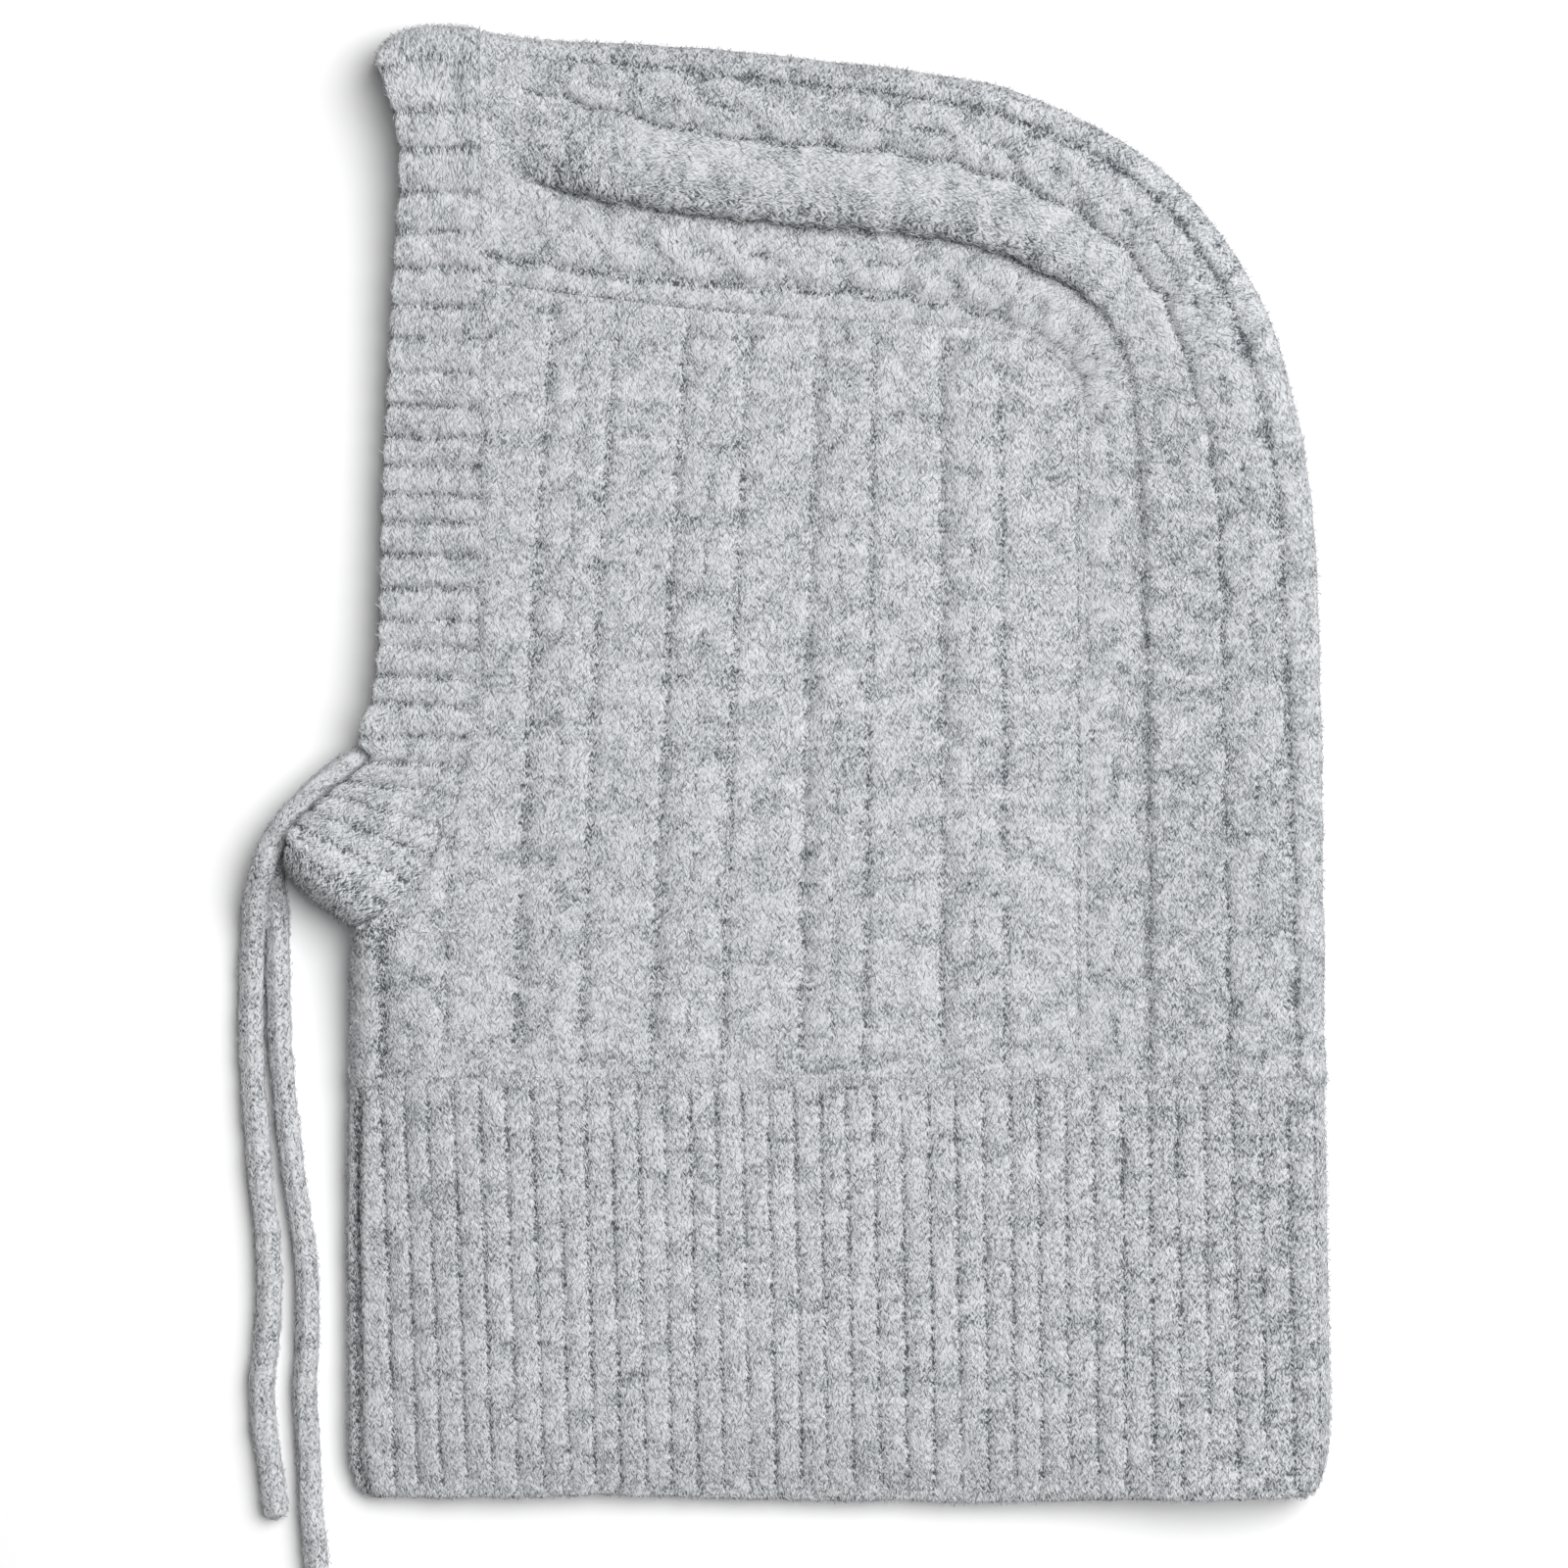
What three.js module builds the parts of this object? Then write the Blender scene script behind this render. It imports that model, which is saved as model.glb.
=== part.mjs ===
// Knit balaclava lying flat on its side, two layers of knit one on the other.
// Millimetres, +Z up, the lower layer rests on z = 0.
// Face opening towards -X, crown towards +Y, back of the head towards +X, hem towards -Y.
import * as THREE from 'three';

// Driving dimensions
const LAID_HEIGHT = 14;          // from the table to the top of the upper layer
const FOLD_REACH = 6.5;          // how far a rounded fold reaches in from the outline
const KNIT_THICKNESS = 3;        // single knit of the hood and the crown
const RIB_THICKNESS = 3.2;       // ribbed neck
const BAND_SEAM_THICKNESS = 3.4; // face band where it meets the hood
const BAND_EDGE_THICKNESS = 4.3; // doubled free edge of the face band, the casing of the cord
const BAND_EDGE_SHARE = 0.3;     // share of the band's width that is the doubled edge
const BAND_EDGE_LIFT = 1.2;      // the doubled edge stands a little higher than the band
const PIECE_GAP = 0.4;           // clear gap between neighbouring pieces
const BAND_GAP = 0.7;            // the same gap along the band's curved seam
const HEM_LIP = 1.2;             // roundness of the cast-on hem
const BAND_LIP = 0.8;            // roundness of the band's free edge
const CREASE_DEPTH = 2.8;        // fold crease below the rolled strip of the crown
const CREASE_HALF_WIDTH = 3.6;
const CREASE_FADE = 22;          // length over which the crease runs out at each end
const CORD_RADIUS = 3.1;
const CORD_SIDES = 10;
const CORD_STEPS = 40;
const FOLD_FACETS = 4;           // facets from the outline in to the flat of a rounded fold
const NECK_FACETS = 10;          // facets across the flat of the neck
const BAND_FACETS = 22;          // facets along the flat of the face band
const CROWN_FACET_ROWS = 30;     // rows of facets along the crown panel
const CURVE_SAMPLES = 160;       // places at which a seam curve is read
const CREASE_SEARCH = { from: 0.15, to: 0.5, step: 0.5 };  // where a crown row looks for the crease
const RIB_TOP = -85.8;           // where the ribbed neck begins
const HOOD_BOTTOM = RIB_TOP + PIECE_GAP;
const SLIT_TOP = -45.6;            // above this the hood's front is open for the face band
const BACK_SEAM_X = 75.1;        // side panel's edge along the back

// The crown panel: its inner edge on the side panel and its outer edge at the fold
const CROWN_ROWS = [
  { innerX: -87.6, innerY: 132.6, outerX: -88.2, outerY: 202.7 },
  { innerX: -72.9, innerY: 130.4, outerX: -72.1, outerY: 199.5 },
  { innerX: -54.0, innerY: 128.0, outerX: -51.8, outerY: 198.5 },
  { innerX: -32.4, innerY: 125.3, outerX: -28.1, outerY: 197.1 },
  { innerX: -5.4, innerY: 122.9, outerX: 1.6, outerY: 194.1 },
  { innerX: 18.9, innerY: 121.5, outerX: 29.7, outerY: 190.9 },
  { innerX: 37.8, innerY: 120.4, outerX: 56.7, outerY: 185.8 },
  { innerX: 52.7, innerY: 118.8, outerX: 81.0, outerY: 175.2 },
  { innerX: 63.5, innerY: 115.6, outerX: 101.5, outerY: 161.2 },
  { innerX: 70.7, innerY: 110.4, outerX: 116.1, outerY: 143.9 },
  { innerX: 74.2, innerY: 104.0, outerX: 127.4, outerY: 123.9 },
  { innerX: 75.1, innerY: 94.8, outerX: 134.5, outerY: 101.5 },
  { innerX: 75.1, innerY: 75.9, outerX: 139.1, outerY: 76.7 },
  { innerX: 75.1, innerY: 48.9, outerX: 141.2, outerY: 48.9 },
  { innerX: 75.1, innerY: 16.5, outerX: 142.3, outerY: 16.5 },
  { innerX: 75.1, innerY: -18.6, outerX: 142.8, outerY: -18.6 },
  { innerX: 75.1, innerY: -53.7, outerX: 143.1, outerY: -53.7 },
  { innerX: 75.1, innerY: HOOD_BOTTOM, outerX: 143.4, outerY: HOOD_BOTTOM },
];
const STRAIGHT_BACK_FROM = 11;   // first row of the table on the straight back edge

// The face band, from the chin fold to the crown fold: free edge and seam edge
const BAND_ROWS = [
  { freeX: -142.0, freeY: -27.6, seamX: -122.2, seamY: -44.4 },
  { freeX: -140.4, freeY: -22.6, seamX: -113.4, seamY: -39.3 },
  { freeX: -136.9, freeY: -17.7, seamX: -106.7, seamY: -32.9 },
  { freeX: -131.8, freeY: -12.9, seamX: -101.0, seamY: -24.6 },
  { freeX: -126.6, freeY: -8.0, seamX: -96.9, seamY: -15.4 },
  { freeX: -121.2, freeY: -3.1, seamX: -94.0, seamY: -5.9 },
  { freeX: -118.2, freeY: 3.6, seamX: -91.5, seamY: 3.5 },
  { freeX: -118.2, freeY: 13.8, seamX: -89.6, seamY: 12.4 },
  { freeX: -116.6, freeY: 34.0, seamX: -88.8, seamY: 32.7 },
  { freeX: -116.1, freeY: 48.9, seamX: -88.6, seamY: 48.3 },
  { freeX: -115.8, freeY: 84.0, seamX: -88.3, seamY: 83.4 },
  { freeX: -114.2, freeY: 116.4, seamX: -88.1, seamY: 116.1 },
  { freeX: -112.9, freeY: 135.3, seamX: -88.1, seamY: 135.3 },
  { freeX: -112.5, freeY: 156.9, seamX: -88.3, seamY: 156.9 },
  { freeX: -113.4, freeY: 175.8, seamX: -88.6, seamY: 176.3 },
  { freeX: -115.8, freeY: 187.9, seamX: -88.8, seamY: 190.3 },
  { freeX: -117.0, freeY: 195.6, seamX: -88.8, seamY: 203.6 },
];
const CROWN_BULGE = 3.6;         // the band's crown fold bows out between its two edges
const CHIN_BULGE = { x: -1.3, y: -1.4 };  // and so does its chin fold

// Front fold of the hood below the chin
const FRONT_FOLD = [
  { y: HOOD_BOTTOM, x: -124.7 },
  { y: -72.6, x: -124.7 },
  { y: -59.1, x: -124.5 },
  { y: SLIT_TOP, x: -123.7 },
];

// The ribbed neck: left and right folds at each height, the last row is the hem
const NECK_ROWS = [
  { y: RIB_TOP, left: -124.7, right: 143.4 },
  { y: -100.0, left: -125.3, right: 143.7 },
  { y: -113.0, left: -125.8, right: 144.0 },
  { y: -140.0, left: -125.9, right: 144.5 },
  { y: -165.0, left: -125.7, right: 144.8 },
  { y: -183.0, left: -125.5, right: 144.8 },
  { y: -192.0, left: -125.0, right: 144.8 },
  { y: -197.5, left: -122.8, right: 143.6 },
  { y: -200.0, left: -118.5, right: 140.5 },
];

// How far the hem hangs below its straight line
const HEM_SAG = [
  { x: -118, sag: 0.7 },
  { x: -100, sag: 1.3 },
  { x: -58, sag: 0.5 },
  { x: -16, sag: 1.3 },
  { x: 27, sag: 2.4 },
  { x: 70, sag: 2.1 },
  { x: 110, sag: 1.9 },
  { x: 130, sag: 3.2 },
  { x: 141, sag: 3.8 },
];
const HEM_SAG_FROM = -150;       // above this height the rows are straight

// Line of the fold crease on the upper layer of the crown
const CREASE_LINE = [
  { x: -73.4, y: 159.0 },
  { x: -45.9, y: 155.5 },
  { x: -21.6, y: 150.1 },
  { x: 5.4, y: 147.4 },
  { x: 29.7, y: 146.1 },
  { x: 48.6, y: 142.0 },
  { x: 64.8, y: 135.3 },
  { x: 78.3, y: 125.8 },
  { x: 86.4, y: 116.4 },
  { x: 90.5, y: 102.9 },
  { x: 92.6, y: 75.9 },
];

// Broad swells and hollows of the upper layer
const SWELLS = [
  { x: 0, y: 20, reachX: 70, reachY: 75, rise: 1.2 },
  { x: -20, y: 172, reachX: 60, reachY: 14, rise: 0.9 },
  { x: 108, y: 70, reachX: 18, reachY: 70, rise: 0.8 },
  { x: -118, y: -22, reachX: 16, reachY: 16, rise: -0.9 },
  { x: 10, y: -96, reachX: 110, reachY: 16, rise: -0.8 },
  { x: -60, y: -160, reachX: 45, reachY: 30, rise: 0.5 },
  { x: 80, y: -175, reachX: 40, reachY: 26, rise: 0.5 },
];

// Routes of the two cord ends, from the band to the free end
const UPPER_CORD = [
  { x: -124.8, y: 0.3, z: 10.2 },
  { x: -127.4, y: -1.5, z: 10.2 },
  { x: -132.3, y: -5.1, z: 10.1 },
  { x: -137.7, y: -10.5, z: 10.0 },
  { x: -142.4, y: -15.9, z: 10.0 },
  { x: -145.8, y: -21.3, z: 10.1 },
  { x: -148.4, y: -28.1, z: 9.7 },
  { x: -150.3, y: -34.8, z: 7.9 },
  { x: -151.2, y: -43.5, z: 4.8 },
  { x: -151.7, y: -53.7, z: 3.2 },
  { x: -152.0, y: -69.9, z: 3.2 },
  { x: -151.6, y: -85.3, z: 3.2 },
  { x: -150.4, y: -100.7, z: 3.2 },
  { x: -149.3, y: -116.1, z: 3.2 },
  { x: -147.7, y: -128.5, z: 3.2 },
  { x: -146.9, y: -143.9, z: 3.2 },
  { x: -148.0, y: -159.3, z: 3.2 },
  { x: -149.0, y: -171.2, z: 3.2 },
  { x: -148.5, y: -182.5, z: 3.2 },
  { x: -147.2, y: -190.4, z: 3.2 },
  { x: -146.0, y: -197.9, z: 3.2 },
  { x: -145.1, y: -207.4, z: 3.2 },
];
const UNDER_CORD = [
  { x: -124.8, y: 0.0, z: 3.2 },
  { x: -127.4, y: -1.9, z: 3.2 },
  { x: -132.3, y: -5.9, z: 3.2 },
  { x: -137.7, y: -11.3, z: 3.2 },
  { x: -142.6, y: -16.7, z: 3.2 },
  { x: -145.5, y: -21.9, z: 3.2 },
  { x: -146.5, y: -26.7, z: 3.2 },
  { x: -145.9, y: -32.1, z: 3.2 },
  { x: -145.0, y: -39.2, z: 3.2 },
  { x: -144.6, y: -48.3, z: 3.2 },
  { x: -144.5, y: -62.1, z: 3.2 },
  { x: -144.0, y: -77.5, z: 3.2 },
  { x: -142.5, y: -93.2, z: 3.2 },
  { x: -140.9, y: -108.5, z: 3.2 },
  { x: -138.8, y: -123.1, z: 3.2 },
  { x: -136.9, y: -136.4, z: 3.2 },
  { x: -136.5, y: -145.5, z: 3.2 },
  { x: -136.8, y: -159.3, z: 3.2 },
  { x: -137.2, y: -174.7, z: 3.2 },
  { x: -136.2, y: -190.4, z: 3.2 },
  { x: -135.4, y: -205.7, z: 3.2 },
  { x: -133.9, y: -221.1, z: 3.2 },
  { x: -133.0, y: -227.5, z: 3.2 },
];

const KNIT_COLOUR = 0xb7b9bc;    // light grey marl
const CORD_COLOUR = 0xb2b4b6;
const KNIT_ROUGHNESS = 0.95;

const mix = (a, b, t) => a + (b - a) * t;
const clamp01 = (t) => Math.min(1, Math.max(0, t));
const smooth = (t) => clamp01(t) ** 2 * (3 - 2 * clamp01(t));

// Straight-line lookup of one named column from another, rows sorted by the first
function lookup(rows, from, to, value) {
  const rising = rows[rows.length - 1][from] > rows[0][from];
  for (let k = 1; k < rows.length; k++) {
    const a = rows[k - 1];
    const b = rows[k];
    const inside = rising ? value <= b[from] : value >= b[from];
    if (inside || k === rows.length - 1) {
      return mix(a[to], b[to], clamp01((value - a[from]) / (b[from] - a[from])));
    }
  }
  return rows[0][to];
}

const smoothCurve = (points) => new THREE.CatmullRomCurve3(points, false, 'centripetal');

// A smooth flat path through points, read by distance from its start
function flatPath(points) {
  const curve = smoothCurve(points.map((p) => new THREE.Vector3(p.x, p.y, 0)));
  const length = curve.getLength();
  return { length, at: (distance) => curve.getPointAt(clamp01(distance / length)) };
}

// Distance from a point to a line of points, and how far along the line the nearest place is
function distanceToLine(line, x, y) {
  let best = { distance: Infinity, along: 0 };
  let travelled = 0;
  for (let k = 1; k < line.length; k++) {
    const dx = line[k].x - line[k - 1].x;
    const dy = line[k].y - line[k - 1].y;
    const span = Math.hypot(dx, dy);
    const t = clamp01(((x - line[k - 1].x) * dx + (y - line[k - 1].y) * dy) / (span * span));
    const distance = Math.hypot(x - line[k - 1].x - dx * t, y - line[k - 1].y - dy * t);
    if (distance < best.distance) best = { distance, along: travelled + span * t };
    travelled += span;
  }
  return { ...best, total: travelled };
}

// Height of the upper layer above the table, away from the folds
function laidHeight(x, y) {
  let height = LAID_HEIGHT;
  for (const swell of SWELLS) {
    const u = (x - swell.x) / swell.reachX;
    const v = (y - swell.y) / swell.reachY;
    height += swell.rise * Math.exp(-(u * u + v * v));
  }
  return height;
}

function creaseDrop(x, y) {
  const near = distanceToLine(CREASE_LINE, x, y);
  const ends = smooth(near.along / CREASE_FADE) * smooth((near.total - near.along) / CREASE_FADE);
  return CREASE_DEPTH * ends * Math.exp(-((near.distance / CREASE_HALF_WIDTH) ** 2));
}

// Outer surface at one plan place: side +1 is the upper layer, -1 the lower one,
// and fold is the distance from the nearest rounded fold
function outerPoint(place, side, fold, lift = 0) {
  const height = laidHeight(place.x, place.y) + lift;
  const inward = 1 - Math.min(fold, FOLD_REACH) / FOLD_REACH;
  const round = Math.sqrt(Math.max(0, 1 - inward * inward));
  const drop = side > 0 ? creaseDrop(place.x, place.y) * round : 0;
  return new THREE.Vector3(place.x, place.y, (height / 2) * (1 + side * round) - drop);
}

// Distances in from a fold that sample its roundness evenly, ending at the flat
function foldSteps() {
  const steps = [];
  for (let k = 0; k < FOLD_FACETS; k++) {
    steps.push(FOLD_REACH * (1 - Math.cos((Math.PI / 2) * (k / FOLD_FACETS))));
  }
  return steps;
}

// A closed solid wall from a grid of outer points. The grid's columns may close on themselves,
// cells may be left out, and every edge left open gets a rim that may stand out as a soft lip.
function wall(grid, { closed = false, thickness, present = () => true, lip = () => 0 }) {
  const rows = grid.length;
  const cols = grid[0].length;
  const at = (j, i) => grid[j][closed ? (i + cols) % cols : Math.min(cols - 1, Math.max(0, i))];
  const normals = grid.map((row, j) => row.map((_, i) => {
    const along = at(j, i + 1).clone().sub(at(j, i - 1));
    const across = at(Math.min(rows - 1, j + 1), i).clone().sub(at(Math.max(0, j - 1), i));
    return along.cross(across).normalize();
  }));
  let facing = 0;
  grid.forEach((row, j) => row.forEach((p, i) => {
    facing += normals[j][i].z * (p.z - LAID_HEIGHT / 2);
  }));
  const outwards = facing > 0 ? 1 : -1;
  normals.forEach((row) => row.forEach((n) => n.multiplyScalar(outwards)));

  const positions = [];
  const index = [];
  const put = (p) => positions.push(p.x, p.y, p.z) / 3 - 1;
  const outer = grid.map((row) => row.map(() => -1));
  const inner = grid.map((row) => row.map(() => -1));
  const corner = (j, i) => {
    const column = closed ? (i + cols) % cols : i;
    if (outer[j][column] < 0) {
      const p = grid[j][column];
      outer[j][column] = put(p);
      inner[j][column] = put(p.clone().addScaledVector(normals[j][column], -thickness(j, column)));
    }
    return [j, column];
  };
  const quad = (a, b, c, d) => {
    if (outwards > 0) index.push(a, b, c, a, c, d);
    else index.push(a, c, b, a, d, c);
  };
  const cells = closed ? cols : cols - 1;
  const has = (j, i) => {
    if (j < 0 || j >= rows - 1) return false;
    if (!closed && (i < 0 || i >= cells)) return false;
    return present(j, closed ? (i + cells) % cells : i);
  };
  const rims = [];
  for (let j = 0; j < rows - 1; j++) {
    for (let i = 0; i < cells; i++) {
      if (!has(j, i)) continue;
      const ring = [corner(j, i), corner(j, i + 1), corner(j + 1, i + 1), corner(j + 1, i)];
      quad(...ring.map(([r, c]) => outer[r][c]));
      quad(...ring.map(([r, c]) => inner[r][c]).reverse());
      const beside = [has(j - 1, i), has(j, i + 1), has(j + 1, i), has(j, i - 1)];
      beside.forEach((filled, k) => {
        if (!filled) rims.push([ring[k], ring[(k + 1) % 4]]);
      });
    }
  }
  // Each open edge gets a middle line between the two surfaces, pushed out by its lip
  const outward = new Map();
  const key = ([r, c]) => r * cols + c;
  for (const [a, b] of rims) {
    const edge = grid[b[0]][b[1]].clone().sub(grid[a[0]][a[1]]).normalize().multiplyScalar(outwards);
    for (const end of [a, b]) {
      const away = edge.clone().cross(normals[end[0]][end[1]]);
      if (!outward.has(key(end))) outward.set(key(end), new THREE.Vector3());
      outward.get(key(end)).add(away);
    }
  }
  const middle = new Map();
  const middleOf = (end) => {
    if (!middle.has(key(end))) {
      const [r, c] = end;
      const p = grid[r][c].clone().addScaledVector(normals[r][c], -thickness(r, c) / 2);
      p.addScaledVector(outward.get(key(end)).normalize(), lip(r, c));
      middle.set(key(end), put(p));
    }
    return middle.get(key(end));
  };
  for (const [a, b] of rims) {
    const [oa, ob] = [outer[a[0]][a[1]], outer[b[0]][b[1]]];
    const [ia, ib] = [inner[a[0]][a[1]], inner[b[0]][b[1]]];
    const [ma, mb] = [middleOf(a), middleOf(b)];
    quad(ob, oa, ma, mb);
    quad(mb, ma, ia, ib);
  }
  const geometry = new THREE.BufferGeometry();
  geometry.setAttribute('position', new THREE.Float32BufferAttribute(positions, 3));
  geometry.setIndex(index);
  geometry.computeVertexNormals();
  return geometry;
}

// A full loop of knit: upper layer from one fold to the other and back along the lower layer
function loopSection(path, flatCount, lift) {
  const near = foldSteps();
  const flat = [];
  for (let k = 0; k <= flatCount; k++) flat.push(mix(FOLD_REACH, path.length - FOLD_REACH, k / flatCount));
  const far = near.map((s) => path.length - s).reverse();
  const stations = [...near, ...flat, ...far];
  const fold = (s) => Math.min(s, path.length - s);
  const upper = stations.map((s) => outerPoint(path.at(s), 1, fold(s), lift));
  const lower = stations.slice(1, -1).reverse().map((s) => outerPoint(path.at(s), -1, fold(s)));
  return [...upper, ...lower];
}

function neckRib() {
  const grid = NECK_ROWS.map((row) => {
    const sagShare = smooth((HEM_SAG_FROM - row.y) / (HEM_SAG_FROM - NECK_ROWS[NECK_ROWS.length - 1].y));
    const points = [];
    for (let k = 0; k <= NECK_FACETS; k++) {
      const x = mix(row.left, row.right, k / NECK_FACETS);
      points.push({ x, y: row.y - sagShare * lookup(HEM_SAG, 'x', 'sag', x) });
    }
    return loopSection(flatPath(points), NECK_FACETS, 0);
  });
  const hem = grid.length - 1;
  return wall(grid, {
    closed: true,
    thickness: () => RIB_THICKNESS,
    lip: (j) => (j === hem ? HEM_LIP : 0),
  });
}

function faceBand() {
  const shares = [0, 0.08, 0.2, BAND_EDGE_SHARE, 0.45, 0.7, 1];
  const grid = shares.map((share) => {
    const points = BAND_ROWS.map((row, k) => {
      const bow = 4 * share * (1 - share);
      const atCrown = k === BAND_ROWS.length - 1 ? bow : 0;
      const atChin = k === 0 ? bow : 0;
      return {
        x: mix(row.freeX, row.seamX, share) + CHIN_BULGE.x * atChin,
        y: mix(row.freeY, row.seamY, share) + CHIN_BULGE.y * atChin + CROWN_BULGE * atCrown,
      };
    });
    const lift = BAND_EDGE_LIFT * (1 - smooth(share / (2 * BAND_EDGE_SHARE)));
    return loopSection(flatPath(points), BAND_FACETS, lift);
  });
  const doubled = (j) => 1 - smooth((shares[j] - BAND_EDGE_SHARE) / BAND_EDGE_SHARE);
  return wall(grid, {
    closed: true,
    thickness: (j) => mix(BAND_SEAM_THICKNESS, BAND_EDGE_THICKNESS, doubled(j)),
    lip: (j) => (j === 0 ? BAND_LIP : 0),
  });
}

function crownPanel() {
  const inner = columnPath(CROWN_ROWS, 'innerX', 'innerY');
  const outer = columnPath(CROWN_ROWS, 'outerX', 'outerY');
  const grid = [];
  for (let r = 0; r <= CROWN_FACET_ROWS; r++) {
    const share = r / CROWN_FACET_ROWS;
    const a = inner(share);
    const b = outer(share);
    const span = Math.hypot(b.x - a.x, b.y - a.y);
    const place = (s) => ({ x: mix(a.x, b.x, s / span), y: mix(a.y, b.y, s / span) });
    const crease = creaseStation(a, b);
    const flats = [
      PIECE_GAP, crease * 0.45, crease * 0.75, crease - CREASE_HALF_WIDTH, crease,
      crease + CREASE_HALF_WIDTH, crease + 2.4 * CREASE_HALF_WIDTH,
      mix(crease, span - FOLD_REACH, 0.55), mix(crease, span - FOLD_REACH, 0.8), span - FOLD_REACH,
    ];
    const folds = foldSteps().map((s) => span - s).reverse();
    const stations = [...flats, ...folds];
    const upper = stations.map((s) => outerPoint(place(s), 1, span - s));
    const lower = stations.slice(0, -1).reverse().map((s) => outerPoint(place(s), -1, span - s));
    grid.push([...upper, ...lower]);
  }
  return wall(grid, { thickness: () => KNIT_THICKNESS });
}

// Where the crease line crosses one row of the crown panel, as a distance from the inner edge
function creaseStation(a, b) {
  const span = Math.hypot(b.x - a.x, b.y - a.y);
  let best = { distance: Infinity, station: 0 };
  for (let s = CREASE_SEARCH.from * span; s < CREASE_SEARCH.to * span; s += CREASE_SEARCH.step) {
    const near = distanceToLine(CREASE_LINE, mix(a.x, b.x, s / span), mix(a.y, b.y, s / span));
    if (near.distance < best.distance) best = { distance: near.distance, station: s };
  }
  return best.station;
}

// A smooth path through two named columns, read by its share of rows
function columnPath(rows, xName, yName) {
  const points = rows.map((row) => new THREE.Vector3(row[xName], row[yName], 0));
  const curve = smoothCurve(points);
  return (share) => curve.getPoint(share);
}

function hoodBody() {
  // The panel's top edge follows the crown panel's inner edge
  const seam = columnPath(CROWN_ROWS.slice(0, STRAIGHT_BACK_FROM + 1), 'innerX', 'innerY');
  const topLine = [];
  for (let k = 0; k <= CURVE_SAMPLES; k++) topLine.push(seam(k / CURVE_SAMPLES));
  const leftTopX = topLine[0].x;
  const seamOfBand = columnPath(BAND_ROWS, 'seamX', 'seamY');
  const bandSeam = [];
  for (let k = 0; k <= CURVE_SAMPLES; k++) {
    const place = seamOfBand(k / CURVE_SAMPLES);
    bandSeam.push({ x: place.x + BAND_GAP, y: place.y });
  }
  const slitShare = (topLine[0].y - SLIT_TOP) / (topLine[0].y - HOOD_BOTTOM);
  const aboveSlit = [0, 0.08, 0.18, 0.3, 0.42, 0.52, 0.59, 0.64, 0.68, 0.72, 0.75, 0.785];
  const rowShares = [...aboveSlit, slitShare, 0.87, 0.93, 1];
  const slitRow = rowShares.indexOf(slitShare);
  const across = [1, 0.992, 0.97, 0.93, 0.88, 0.81, 0.72, 0.6, 0.48, 0.36, 0.24, 0.12, 0];
  const grid = rowShares.map((share, j) => {
    const leftY = mix(topLine[0].y, HOOD_BOTTOM, share);
    const folded = j >= slitRow;
    const foldX = lookup(FRONT_FOLD, 'y', 'x', leftY);
    const flatLeft = folded ? foldX + FOLD_REACH : lookup(bandSeam, 'y', 'x', leftY);
    const places = across.map((f) => {
      const topX = mix(leftTopX, BACK_SEAM_X, f);
      const topY = lookup(topLine, 'x', 'y', topX);
      return { x: mix(flatLeft, BACK_SEAM_X, f), y: mix(topY, HOOD_BOTTOM, share) };
    });
    const nose = foldSteps().reverse();
    const edge = places[places.length - 1];
    const upper = places.map((p) => outerPoint(p, 1, FOLD_REACH));
    const round = (s, side) => outerPoint({ x: flatLeft - FOLD_REACH + s, y: edge.y }, side, s);
    const upperNose = nose.map((s) => round(s, 1));
    const lowerNose = nose.slice(0, -1).reverse().map((s) => round(s, -1));
    const lower = [...places].reverse().map((p) => outerPoint(p, -1, FOLD_REACH));
    return [...upper, ...upperNose, ...lowerNose, ...lower];
  });
  const firstNose = across.length - 1;
  const lastNose = firstNose + 2 * FOLD_FACETS - 1;
  return wall(grid, {
    thickness: () => KNIT_THICKNESS,
    present: (j, i) => j >= slitRow || i < firstNose || i > lastNose,
  });
}

function cordTube(route) {
  const path = smoothCurve(route.map((p) => new THREE.Vector3(p.x, p.y, p.z)));
  const section = new THREE.Shape();
  for (let k = 0; k < CORD_SIDES; k++) {
    const angle = (2 * Math.PI * k) / CORD_SIDES;
    const x = CORD_RADIUS * Math.cos(angle);
    const y = CORD_RADIUS * Math.sin(angle);
    if (k === 0) section.moveTo(x, y);
    else section.lineTo(x, y);
  }
  section.closePath();
  return new THREE.ExtrudeGeometry(section, { steps: CORD_STEPS, extrudePath: path, bevelEnabled: false });
}

const group = new THREE.Group();
group.name = 'knit_balaclava';

function addPiece(name, geometry, colour) {
  const material = new THREE.MeshStandardMaterial({ color: colour, roughness: KNIT_ROUGHNESS, metalness: 0 });
  material.name = name;
  const mesh = new THREE.Mesh(geometry, material);
  mesh.name = name;
  group.add(mesh);
}

addPiece('neck_rib', neckRib(), KNIT_COLOUR);
addPiece('hood_body', hoodBody(), KNIT_COLOUR);
addPiece('crown_panel', crownPanel(), KNIT_COLOUR);
addPiece('face_band', faceBand(), KNIT_COLOUR);
addPiece('drawcord_upper', cordTube(UPPER_CORD), CORD_COLOUR);
addPiece('drawcord_under', cordTube(UNDER_CORD), CORD_COLOUR);

export default group;
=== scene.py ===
# Knit balaclava laid flat on its side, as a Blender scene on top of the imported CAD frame.
# Tables are in millimetres in the CAD's own frame; finished meshes are in metres.
import math
from functools import partial

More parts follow.
